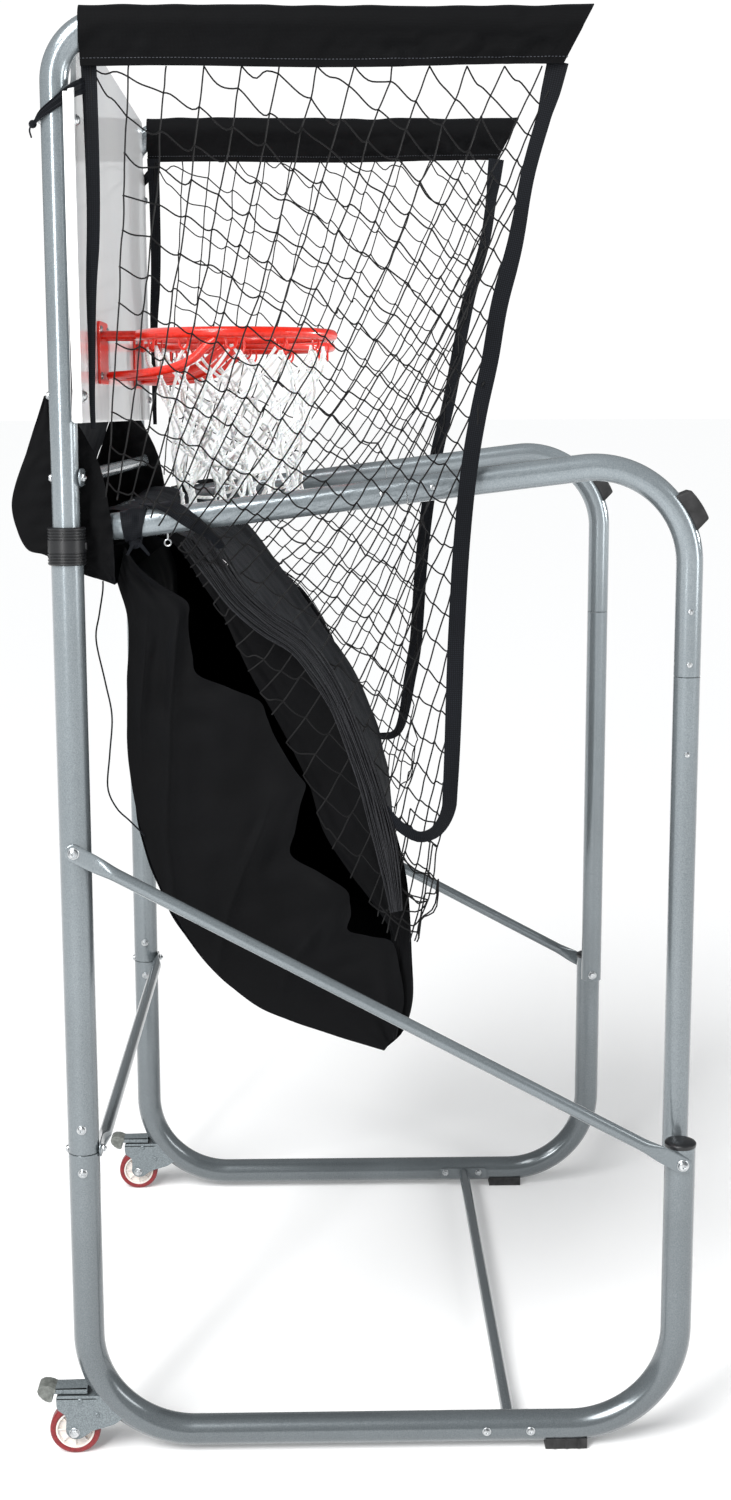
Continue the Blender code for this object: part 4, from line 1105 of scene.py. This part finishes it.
def stitches(name, points, rows, body, pitch=0.0048):
    """Thread stitches laid along some columns of a cloth's grid: one short capsule a
    pitch, its long way along the column."""
    spots = []
    for row in rows:
        line = spaced(points[:, row], int(running(points[:, row])[-1] / pitch))
        skin = np.sign(points[len(points) // 2, row, 0] - points[:, :, 0].mean())
        place = placed(line + np.array((skin * 0.0007, 0, 0)))
        place[:, :3, 1] = unit(np.gradient(line, axis=0))
        place[:, :3, 0] = (1, 0, 0)
        place[:, :3, 2] = np.cross(place[:, :3, 0], place[:, :3, 1])
        spots.append(place)
    seed = lathe([(0, -0.0016), (0.0005, -0.0012), (0.0005, 0.0012), (0, 0.0016)], (0, 0, 0),
                 (0, 1, 0), 6)
    piece(name, scattered(seed, np.concatenate(spots)), "sewing_thread", body)


NEAR_STRAP = [(-0.264, 1.986), (-0.2552, 1.949), (-0.2445, 1.9096), (-0.2329, 1.87),
              (-0.2233, 1.8303), (-0.2091, 1.7502), (-0.1887, 1.6693), (-0.1767, 1.5964),
              (-0.161, 1.5216), (-0.148, 1.4385), (-0.1385, 1.3342), (-0.1325, 1.2159),
              (-0.131, 1.171), (-0.126, 1.0058), (-0.123, 0.9654), (-0.108, 0.936),
              (-0.0852, 0.9251), (-0.064, 0.933), (-0.045, 0.948), (-0.03, 0.966)]
FAR_STRAP = [(-0.269, 1.984), (-0.26, 1.91), (-0.2478, 1.831), (-0.217, 1.7208),
             (-0.1843, 1.5487), (-0.164, 1.4635), (-0.1454, 1.3589), (-0.1324, 1.238),
             (-0.1232, 1.1005), (-0.112, 1.03), (-0.0888, 0.9301), (-0.044, 0.918)]
STRAP_X = 0.501
REAR_BEND = ((0, 0.3, 1.3), (0, 0.3, -0.1))


def hung_band(track, x, side, twist, half):
    """A band down a (y, z) track: its path and its grid, whose width direction is the
    path's own square turned by the twist towards X."""
    path = np.stack([x, track[:, 0], track[:, 1]], 1)
    _, out, square = directions(path, (side, 0, 0))
    wide = square * np.cos(twist)[:, None] + out * np.sin(twist)[:, None]
    return path, ribbon(path, wide, half, 9)


def front_strap(tag, side):
    """A flat band that hangs from the sleeve's front corner and turns edge-on where it
    curls into the trough: the width direction turns from the path's own square to X."""
    track = smooth(NEAR_STRAP if side < 0 else FAR_STRAP, 160)
    t = np.linspace(0, 1, len(track))
    inward = np.clip((t - 0.8) / 0.2, 0, 1) ** 1.5
    x = side * (STRAP_X - 0.048 * inward + 0.0015 * np.sin(11 * t))
    twist = math.radians(48) * np.clip((t - 0.72) / 0.25, 0, 1) + 0.2 * np.sin(5 * t + side)
    half = np.interp(t, (0, 0.035, 0.06, 0.16, 0.24, 0.9, 1),
                     (0.0145, 0.013, 0.0098, 0.0095, 0.0118, 0.0118, 0.01))
    path, points = hung_band(track, x, side, twist, half)
    made = piece(f"front_band_{tag}", cloth(points, 0.0016), WEBBING, None,
                 f"front_strap_{tag}", bends=REAR_BEND, sharp=50)


def rear_strap(tag, side):
    """The band sewn down the net's rear edge, from the sleeve to below the board."""
    track = smooth([(0.36, 1.984), (0.3585, 1.91), (0.3581, 1.824), (0.3598, 1.76),
                    (0.364, 1.69), (0.3655, 1.598), (0.3665, 1.545), (0.366, 1.505)], 90)
    t = np.linspace(0, 1, len(track))
    x = side * (0.496 + 0.0012 * np.sin(9 * t))
    half = np.interp(t, (0, 0.12, 0.5, 0.75, 1), (0.0108, 0.01, 0.0086, 0.0052, 0.0034))
    _, points = hung_band(track, x, side, 0.25 * np.sin(4 * t + side), half)
    made = piece(f"rear_band_{tag}", cloth(points, 0.0015), WEBBING, "frame")
    tie(tag, side)


def tie(tag, side):
    """A short tape from the band's top round the back of the post, ending in a knot."""
    x = side * SIDE_X
    route = smooth([(side * 0.4965, 0.366, 1.956), (side * 0.517, 0.38, 1.946),
                    (side * 0.5262, 0.4, 1.93), (side * 0.5225, 0.422, 1.915),
                    (x, 0.433, 1.906)], 40)
    t = np.linspace(0, 1, 40)
    _, out, square = directions(route, (0, 0, 1))
    half = 0.0105 * (1 - 0.68 * t)
    s = np.linspace(-1, 1, 7)
    points = (ribbon(route, out, half, len(s))
              + 0.0009 * np.sin(12 * s)[None, :, None] * square[:, None])
    knot = lathe([(0, -0.006), (0.004, -0.0045), (0.0056, 0), (0.004, 0.0045),
                  (0, 0.006)], (x, 0.435, 1.905), (1, 0, 0), 14)
    tail = tube(smooth([(x, 0.436, 1.905), (x - side * 0.004, 0.44, 1.898),
                        (x - side * 0.006, 0.438, 1.888)], 12), 0.0012, (1, 0, 0), 8)
    made = piece(f"corner_tie_{tag}", cloth(points, 0.0012), WEBBING, "frame")
    end = piece(f"corner_knot_{tag}", [knot, tail], WEBBING, "frame")


# --- the side nets ------------------------------------------------------------
COLUMNS, CELL, SLEEVE_FOOT = 12, 0.05, 1.9825
TWINE_R = 0.0012
NET_REAR = [(0.36, 1.984), (0.3585, 1.91), (0.3581, 1.824), (0.3598, 1.76), (0.364, 1.69),
            (0.3655, 1.598), (0.367, 1.51), (0.356, 1.42), (0.35, 0.6)]
NET_HEM = [(0.362, 1.416), (0.3, 1.395), (0.2555, 1.3404), (0.2294, 1.292), (0.1989, 1.2448),
           (0.1587, 1.1569), (0.1197, 1.0855), (0.076, 0.9948), (0.054, 0.9214),
           (0.0141, 0.8568), (-0.0172, 0.8151), (-0.044, 0.7635), (-0.06, 0.7)]
FRINGE = [(-0.1263, 0.8955), (-0.109, 0.8538), (-0.0886, 0.8164), (-0.0814, 0.7561),
          (-0.075, 0.68)]


def at_height(line, z):
    """The line's y at each height, for a (y, z) line that runs downwards."""
    line = np.array(line)[::-1]
    return np.interp(z, line[:, 1], line[:, 0])


def side_net(tag, side):
    """A knotted net in two families of cords. Taut load lines start at the sleeve and
    down the front band and lean back as they fall, by an angle that grows with the
    square of the length run. Slack cross lines start at the rear band, one CELL apart,
    and fall forward by 0.30 s + 0.62 s^2, s being the distance forward. A knot lies
    where a load line and a cross line meet, and every line ends on the trough's hem."""
    draw = np.random.default_rng(71 if side < 0 else 83)
    strap = np.array(NEAR_STRAP if side < 0 else FAR_STRAP)
    front = np.vstack([strap[strap[:, 1] > 0.95], FRINGE])
    run = running(front)
    along = np.arange(0.03, run[-1] - 0.1, 0.066)
    edge = np.stack([np.interp(along, run, front[:, k]) for k in (0, 1)], 1)
    top = np.stack([np.linspace(0.357, front[0, 0] + 0.02, COLUMNS + 1),
                    np.full(COLUMNS + 1, SLEEVE_FOOT)], 1)
    starts = np.vstack([top, edge])
    lean = np.r_[np.linspace(0, 1, COLUMNS + 1) ** 0.8 * 25.0,
                 np.interp(edge[:, 1], (1.0, 1.25, 1.6), (10.0, 14.0, 25.0))]
    lines = [load_line(*start, angle) for start, angle in zip(starts, np.radians(lean))]
    taut, slack, knots, ends = [], [], [], []
    for line in lines:
        drop = (SLEEVE_FOOT - line[:, 1]) - cross_fall(0.36 - line[:, 0])
        rank = drop / CELL
        at = np.arange(math.ceil(rank[0] + 0.25), math.floor(rank[-1] - 0.25) + 1)
        row = np.stack([np.interp(at, rank, line[:, k]) for k in (0, 1)], 1)
        row = row + draw.normal(0, (0.0014, 0.0032), row.shape)
        knots.append(dict(zip(at.tolist(), row)))
        ends.append((line[0], line[-1]))
        chain = np.vstack([line[:1], row, line[-1:]])
        taut += list(zip(chain[:-1], chain[1:]))
    for k, row in enumerate(knots):
        for rank, knot in row.items():
            for other in (k - 1, k + 1):
                if not 0 <= other < len(knots):
                    continue
                ranks = knots[other].keys()
                if rank in ranks:
                    if other > k:
                        slack.append((knot, knots[other][rank]))
                elif not ranks or rank < min(ranks):
                    slack.append((knot, ends[other][0]))
                else:
                    slack.append((knot, ends[other][1]))
    taut, slack = np.array(taut), np.array(slack)
    slack = slack[np.linalg.norm(slack[:, 1] - slack[:, 0], axis=1) < 0.1]
    cords = [spun(taut, side, draw, 0.0003, 0.0005), spun(slack, side, draw, 0.0056, 0.0046)]
    spots = np.vstack([list(row.values()) for row in knots if row])
    bead = lathe([(0, -0.0021), (0.0019, 0), (0, 0.0021)], (0, 0, 0), (0, 0, 1), 5)
    places = placed(np.column_stack([side * net_plane(spots[:, 1]), spots]))
    piece(f"netting_{tag}", [strands(np.concatenate(cords), TWINE_R, 5),
                             scattered(bead, places)],
          "black_netting", None, f"side_net_{tag}", bends=REAR_BEND)
    gathered(tag, side, 72 if side < 0 else 84)


def cross_fall(forward):
    """How far a cross line has fallen, a distance forward of the rear band."""
    forward = np.clip(forward, 0, None)
    return 0.3 * forward + 0.62 * forward**2


def load_line(y, z, angle):
    """A taut line's (y, z) points at 2 mm steps until it meets the hem or rear band."""
    step = 0.002
    length = np.arange(0, 1.3, step)
    turn = angle + math.radians(20) * (length / 0.7) ** 2 * min(angle / 0.25, 1)
    turn = np.minimum(turn, math.radians(44))
    line = np.stack([y + np.cumsum(np.sin(turn)) * step, z - np.cumsum(np.cos(turn)) * step],
                    1)
    bound = np.where(line[:, 1] > 1.412, at_height(NET_REAR, line[:, 1]) - 0.002,
                     at_height(NET_HEM, line[:, 1]))
    loose = (line[:, 1] < 0.89) & (line[:, 0] < at_height(FRINGE, line[:, 1]) - 0.002)
    past = (line[:, 0] > bound) | (line[:, 1] < 0.765) | loose
    return line[:max(int(np.argmax(past)), 12)] if past.any() else line


def spun(pairs, side, draw, sag, swing):
    """Cords between pairs of (y, z) points. Each hangs by sag 4 t (1 - t) and swings
    by a full sine wave, both in proportion to its length, by its own drawn share."""
    t = np.linspace(0, 1, 9)[None, :, None]
    yz = pairs[:, :1] * (1 - t) + pairs[:, 1:] * t
    span = np.linalg.norm(pairs[:, 1] - pairs[:, 0], axis=1)[:, None] / 0.045
    bow = 4 * t[..., 0] * (1 - t[..., 0])
    wave = np.sin(2 * math.pi * t[..., 0])
    own = draw.normal(1, 0.45, (len(pairs), 1))
    sway = draw.normal(0.7, 0.6, (len(pairs), 1))
    yz[..., 1] -= sag * span * own * bow - swing * span * sway * wave
    yz[..., 0] += 0.45 * swing * span * sway * wave
    out = draw.normal(0, 0.003, (len(pairs), 1)) * bow
    x = side * (net_plane(yz[..., 1]) + out)
    return np.concatenate([x[..., None], yz], -1)


def gathered(tag, side, seed):
    """The net's selvedge, gathered into a loose skein that runs down the trough from
    under the arm: strand k keeps its own place in the skein's width, with slow noise."""
    line = smooth([(0.233, 1.36), (0.208, 1.322), (0.174, 1.272), (0.132, 1.234),
                   (0.088, 1.203), (0.056, 1.162), (0.031, 1.118), (0.008, 1.06),
                   (-0.012, 1.0), (-0.028, 0.94), (-0.042, 0.87),
                   (-0.052, 0.805)], 90)
    draw = np.random.default_rng(seed)
    count = 40
    place = draw.uniform(-1, 1, (count, 1))
    depth = draw.uniform(0, 1, (count, 1))
    t = np.linspace(0, 1, 90)[None]
    wide = np.interp(t[0], (0, 0.15, 0.5, 0.8, 1), (0.024, 0.02, 0.015, 0.017, 0.008))
    slope = unit(np.gradient(line, axis=0))
    square = np.stack([-slope[:, 1], slope[:, 0]], 1)
    wobble = sum(np.sin(k * math.pi * t * (1 + 0.3 * depth) + draw.uniform(0, 6.3, (count, 1)))
                 / k for k in (3, 7, 13))
    across = place * wide + 0.0032 * wobble
    x = side * (0.456 + 0.01 * depth * (1 - 0.5 * t) + 0.0016 * wobble)
    yz = line[None] + square[None] * across[..., None]
    paths = np.concatenate([x[..., None], yz], -1)[:, ::2]
    if side > 0:
        paths[..., 1] += 0.022
    # The skein uses the twine's painted-highlight copy, a lighter black.
    piece(f"net_gather_{tag}", strands(paths, 0.00085, 5), "bunched_twine_painted_highlight", None,
          bends=REAR_BEND)


def arm_bands(tag, side):
    """The ribbed band that carries the net over the arm, and a crumpled loop of the
    same band tied round the arm behind it."""
    route = smooth([(0.454, 0.302, 1.399), (0.468, 0.282, 1.401),
                    (0.4775, 0.263, 1.3965), (0.4832, 0.238, 1.38),
                    (0.479, 0.22, 1.366), (0.471, 0.206, 1.354),
                    (0.464, 0.196, 1.34)], 60) * (side, 1, 1)
    axis = np.stack([np.full(60, side * ARM_X), route[:, 1], arm_height(route[:, 1])], 1)
    _, out, wide = directions(route, unit(route - axis))
    s = np.linspace(-1, 1, 11)
    half = 0.0118 + 0.001 * np.sin(np.linspace(0, 7, 60))
    points = (ribbon(route, wide, half, len(s))
              + out[:, None] * (0.001 * np.cos(s * 2.2))[None, :, None])
    made = piece(f"carrying_band_{tag}", cloth(points, 0.0017), WEBBING,
                 "front_frame")
    turn = np.linspace(0, 2 * math.pi, 73)[:-1, None]
    s = np.linspace(-1, 1, 13)[None]
    half = 0.015 + 0.0035 * np.cos(turn)
    y = 0.317 + s * half
    fold = ripple(np.stack([np.cos(turn) + 0 * s, np.sin(turn) + 0 * s, 0.8 * s + 0 * turn],
                           -1), 1.1, 61)
    lift = UPPER_R + 0.003 + 0.0014 * fold + 0.001 * np.cos(5 * s)
    layers = []
    for reach in (lift, lift - 0.0018):
        layers.append(np.stack([side * ARM_X + reach * np.sin(turn), y,
                                arm_height(y) + reach * np.cos(turn)], -1))
    shell = np.concatenate([layers[0], layers[1][:, ::-1]], 1)
    loop = grid(shell, ring=True, loop=True, uv=np.stack(np.meshgrid(
        np.r_[np.linspace(0, 0.034, 13), np.linspace(0.034, 0, 13)],
        np.linspace(0, 0.14, 72)), -1))
    made = piece(f"arm_loop_{tag}", loop, WEBBING, "front_frame")
    under = arm_height(0.317) - UPPER_R - 0.0055
    knot = lathe([(0, -0.0085), (0.006, -0.0065), (0.0095, 0), (0.007, 0.0055),
                  (0, 0.0075)], (side * (ARM_X + 0.004), 0.315, under), (1, 0.3, 0), 16)
    tails = [tube(smooth([(side * (ARM_X + 0.006), 0.313, under),
                          (side * (ARM_X + 0.011), 0.313 + dy, under - 0.006),
                          (side * (ARM_X + 0.009), 0.313 + 2.2 * dy, under - 0.018)], 14),
                  np.linspace(0.0034, 0.0018, 14), (1, 0, 0), 10) for dy in (-0.008, 0.006)]
    end = piece(f"arm_knot_{tag}", [knot, *tails], WEBBING, "front_frame")


def net_plane(z):
    """How far out the net hangs: on the sleeve's plane above, in by the trough below."""
    return 0.4975 - 0.0425 * np.clip((1.385 - z) / 0.09, 0, 1)


# --- the pouch and the ball trough --------------------------------------------
POUCH = [(0.4345, 1.55), (0.46, 1.478), (0.484, 1.4015), (0.4663, 1.343),
         (0.4389, 1.331), (0.3911, 1.307), (0.344, 1.29)]
POUCH_FRONT = [(0.432, 1.55), (0.402, 1.53), (0.378, 1.49), (0.36, 1.45),
               (0.35, 1.4), (0.345, 1.35), (0.344, 1.292)]
UNDER = [(0.344, 1.29), (0.33, 1.23), (0.3345, 1.12), (0.334, 1.03), (0.318, 0.9314),
         (0.2861, 0.8344), (0.2295, 0.7375), (0.165, 0.674), (0.1058, 0.6434), (0.0278, 0.615),
         (-0.033, 0.596)]
SIDE_HEM = [(0.3327, 1.3406), (0.3137, 1.3124), (0.28, 1.285), (0.2461, 1.2613),
            (0.2452, 1.238), (0.245, 1.2172), (0.24, 1.185), (0.2333, 1.1585), (0.19, 1.14),
            (0.1463, 1.1197), (0.135, 1.096), (0.1247, 1.0691), (0.112, 1.046),
            (0.0993, 1.0245), (0.088, 1.008), (0.0798, 0.9966), (0.084, 0.98),
            (0.0889, 0.9643), (0.096, 0.928), (0.1022, 0.892), (0.062, 0.867),
            (0.0229, 0.8416), (0.017, 0.822), (0.0154, 0.8033), (0.0198, 0.7801),
            (-0.012, 0.77), (-0.0444, 0.7607), (-0.056, 0.72), (-0.062, 0.67), (-0.052, 0.62)]
SIDE_CREASES = [
    ([(0.2544, 1.2651), (0.2631, 1.1795), (0.27, 1.1177), (0.2748, 1.0203), (0.2795, 0.9277),
      (0.2698, 0.828), (0.255, 0.76)], 0.0065, 0.01),
    ([(0.1228, 0.99), (0.1436, 0.9312), (0.1674, 0.8765), (0.1885, 0.8199), (0.2041, 0.7523),
      (0.214, 0.69)], 0.006, 0.009),
    ([(0.298, 1.2795), (0.3055, 1.1941), (0.3148, 1.0933), (0.3138, 1.006)], 0.004, 0.008),
    ([(0.035, 0.81), (0.07, 0.77), (0.105, 0.725), (0.12, 0.66)], 0.0045, 0.01),
]
FRONT_FLOOR = [(-0.033, 0.596), (-0.062, 0.625), (-0.0755, 0.6693), (-0.0746, 0.7306),
               (-0.0686, 0.8367), (-0.054, 0.9117), (-0.029, 0.985), (0.008, 1.065),
               (0.048, 1.122), (0.092, 1.188), (0.145, 1.258), (0.2, 1.325), (0.26, 1.358),
               (0.305, 1.378), (0.335, 1.3905), (0.369, 1.3905), (0.388, 1.38), (0.393, 1.362),
               (0.385, 1.346)]
FRONT_HEM = [(0.0, 0.64), (-0.015, 0.7), (-0.044, 0.7635), (-0.0172, 0.8151), (0.0141, 0.8568),
             (0.054, 0.9214), (0.076, 0.9948), (0.1197, 1.0855), (0.1587, 1.1569),
             (0.1989, 1.2448), (0.2294, 1.292), (0.2555, 1.3404), (0.285, 1.356),
             (0.315, 1.35), (0.345, 1.342)]
FRONT_BEND = ((0, -0.404, -0.143), (0, 0.338, 1.343))


def across_sheet(track, half, count, sag, seed, fold):
    """A panel through a (y, z) track, from side to side: x = half * s, with the middle
    pushed along the track's normal by sag * (1 - s^2) and by long soft folds."""
    line, sides = smooth(track, count), 81
    s = np.linspace(-1, 1, sides)
    points = np.stack([np.broadcast_to(half * s, (count, sides)),
                       np.repeat(line[:, :1], sides, 1),
                       np.repeat(line[:, 1:], sides, 1)], -1)
    away = normals(points)
    t = np.linspace(0, 1, count)[:, None]
    body = (1 - s[None] ** 2) * np.sin(math.pi * np.clip(t, 0, 1)) ** 0.5
    folds = ripple(points * (1.0, 0.25, 0.25), 0.11, seed)
    fine = ripple(points, 0.06, seed + 1)
    edge = np.sin(math.pi * t) ** 0.5
    return points + away * (sag * body + (fold * folds + 0.0012 * fine) * edge)[..., None]


def wall(lower, upper, x, bulge, seed, fold, count, rows, lean=0.0, creases=()):
    """A side wall between two (y, z) tracks: straight lines from one to the other, the
    middle bulging out, and soft folds running up it. A crease is a ridge of Gaussian
    section along its own (y, z) line."""
    low, high = smooth(lower, count), smooth(upper, count)
    t = np.linspace(0, 1, rows)[None, :, None]
    flat = low[:, None] * (1 - t) + high[:, None] * t
    out = np.sign(x)
    u = np.linspace(0, 1, count)[:, None]
    v = np.linspace(0, 1, rows)[None]
    spread = bulge * np.sin(math.pi * np.clip(0.15 + 0.75 * v, 0, 1)) * np.sin(
        math.pi * np.clip(u, 0.02, 0.98)) ** 0.6
    where = np.stack([u + 0 * v, 0.35 * v + 0 * u, 0 * u + 0 * v], -1)
    soft = ripple(where, 0.16, seed) + 0.5 * ripple(where, 0.07, seed + 1)
    depth = spread + fold * soft * (0.25 + 0.75 * v) + lean * v
    for crease, height, width in creases:
        off = flat[..., 0] - at_height(crease, flat[..., 1])
        top, foot = crease[0][1], crease[-1][1]
        fade = np.clip((top - flat[..., 1]) / 0.06, 0, 1) * np.clip(
            (flat[..., 1] - foot) / 0.08, 0, 1)
        depth = depth + height * fade * np.exp(-((off / width) ** 2)) * np.where(
            off > 0, 1, 0.6)
    return np.stack([x + out * depth, flat[..., 0], flat[..., 1]], -1)


CLOTH = 0.0012            # the trough's coated cloth


def panel(name, points, thickness=CLOTH, nodes=(), bends=None):
    """A cloth panel on the main frame, or, given bends, one on no body with its placement baked
    in.
    """
    return piece(name, cloth(points, thickness), FABRIC, None if bends else "frame", nodes,
                 bends=bends, sharp=70)


def trough():
    """The pouch behind the posts, and the ball trough's two halves and side walls."""
    made = panel("pouch", across_sheet(POUCH, 0.474, 70, 0.004, 41, 0.002),
                 nodes="rear_pouch")
    for tag, side in SIDES:
        made = panel(f"pouch_end_{tag}", wall(POUCH, POUCH_FRONT, side * 0.4745, 0.003, 43,
                                              0.0022, 90, 30))
    under = across_sheet(UNDER, RAMP_HALF, 130, 0.022, 45, 0.0035)
    made = panel("trough_rear", under, nodes="ramp_rear_panel", bends=REAR_BEND)
    front = across_sheet(FRONT_FLOOR, RAMP_HALF - 0.004, 130, 0.014, 47, 0.0035)
    made = panel("trough_front", front, nodes="ramp_front_panel", bends=FRONT_BEND)
    for tag, side in SIDES:
        seed = 51 if side < 0 else 57
        skin = wall(UNDER, SIDE_HEM, side * RAMP_HALF, 0.006, seed, 0.0045, 220, 90,
                    creases=SIDE_CREASES)
        made = panel(f"trough_side_{tag}", skin, 0.0013, f"ramp_side_{tag}", REAR_BEND)
        inner = wall(FRONT_FLOOR, FRONT_HEM, side * (RAMP_HALF - 0.006), -0.006, seed + 2,
                     0.003, 150, 24, lean=-0.012)
        made = panel(f"trough_lip_{tag}", inner, bends=FRONT_BEND)


# --- put it together ----------------------------------------------------------
for side_tag, side_sign in SIDES:
    for build in (main_frame, caster, hoop, sleeve, front_strap, rear_strap, side_net,
                  arm_bands):
        build(side_tag, side_sign)
struts()
feet()
folding_frame()
board()
trough()


# --- floor and light ----------------------------------------------------------
def studio():
    """A pale floor that runs out of sight, a white backdrop and four lamps."""
    scene = bpy.context.scene
    scene.view_settings.view_transform = "Standard"
    far = 400
    floor = bpy.data.meshes.new("studio_floor")
    floor.from_pydata([(-far, -far, 0), (far, -far, 0), (far, far, 0), (-far, far, 0)], [],
                      [(0, 1, 2, 3)])
    base = bpy.data.materials.new("studio_floor")
    base.use_nodes = True
    paint = base.node_tree.nodes["Principled BSDF"].inputs
    paint["Base Color"].default_value = (0.88, 0.88, 0.88, 1)
    paint["Roughness"].default_value = 0.8
    paint["Emission Color"].default_value = (1, 1, 1, 1)
    paint["Emission Strength"].default_value = 0.15
    floor.materials.append(base)
    ground = bpy.data.objects.new("studio_floor", floor)
    scene.collection.objects.link(ground)
    # A white backdrop, and a softer grey surround that lights the machine.
    world = bpy.data.worlds.new("studio")
    scene.world = world
    world.use_nodes = True
    tree = world.node_tree
    surround = tree.nodes["Background"]
    surround.inputs["Color"].default_value = (0.95, 0.98, 1.0, 1)
    surround.inputs["Strength"].default_value = 0.27
    backdrop = node(tree, "Background", {"Color": (1, 1, 1, 1), "Strength": 1.05})
    seen = node(tree, "LightPath")
    mix = node(tree, "MixShader", {0: seen.outputs["Is Camera Ray"],
                                   1: surround.outputs["Background"],
                                   2: backdrop.outputs["Background"]})
    tree.links.new(mix.outputs["Shader"], tree.nodes["World Output"].inputs["Surface"])
    lamp("sun", "SUN", (-2.2, 1.6, 4.0), 3.15, angle=0.6)
    lamp("strip", "AREA", (-3.3, 1.45, 2.3), 60, shape="RECTANGLE", size=0.35, size_y=2.2)
    lamp("front", "AREA", (-1.6, -2.9, 1.9), 26, shape="RECTANGLE", size=0.8, size_y=1.8)
    lamp("board", "SPOT", (0.5, -3.4, 1.9), 460, (0, 0.38, 1.72), spot_size=0.42,
         spot_blend=0.6, shadow_soft_size=0.25)


def lamp(name, kind, spot, energy, aimed_at=(0, 0, 1.1), **settings):
    """A light at spot, turned towards a point, the machine's middle if none is given."""
    light = bpy.data.lights.new(name, kind)
    light.energy = energy
    for key, value in settings.items():
        setattr(light, key, value)
    made = bpy.data.objects.new(name, light)
    made.location = spot
    made.rotation_euler = (Vector(aimed_at) - Vector(spot)).to_track_quat("-Z", "Y").to_euler()
    bpy.context.scene.collection.objects.link(made)


studio()
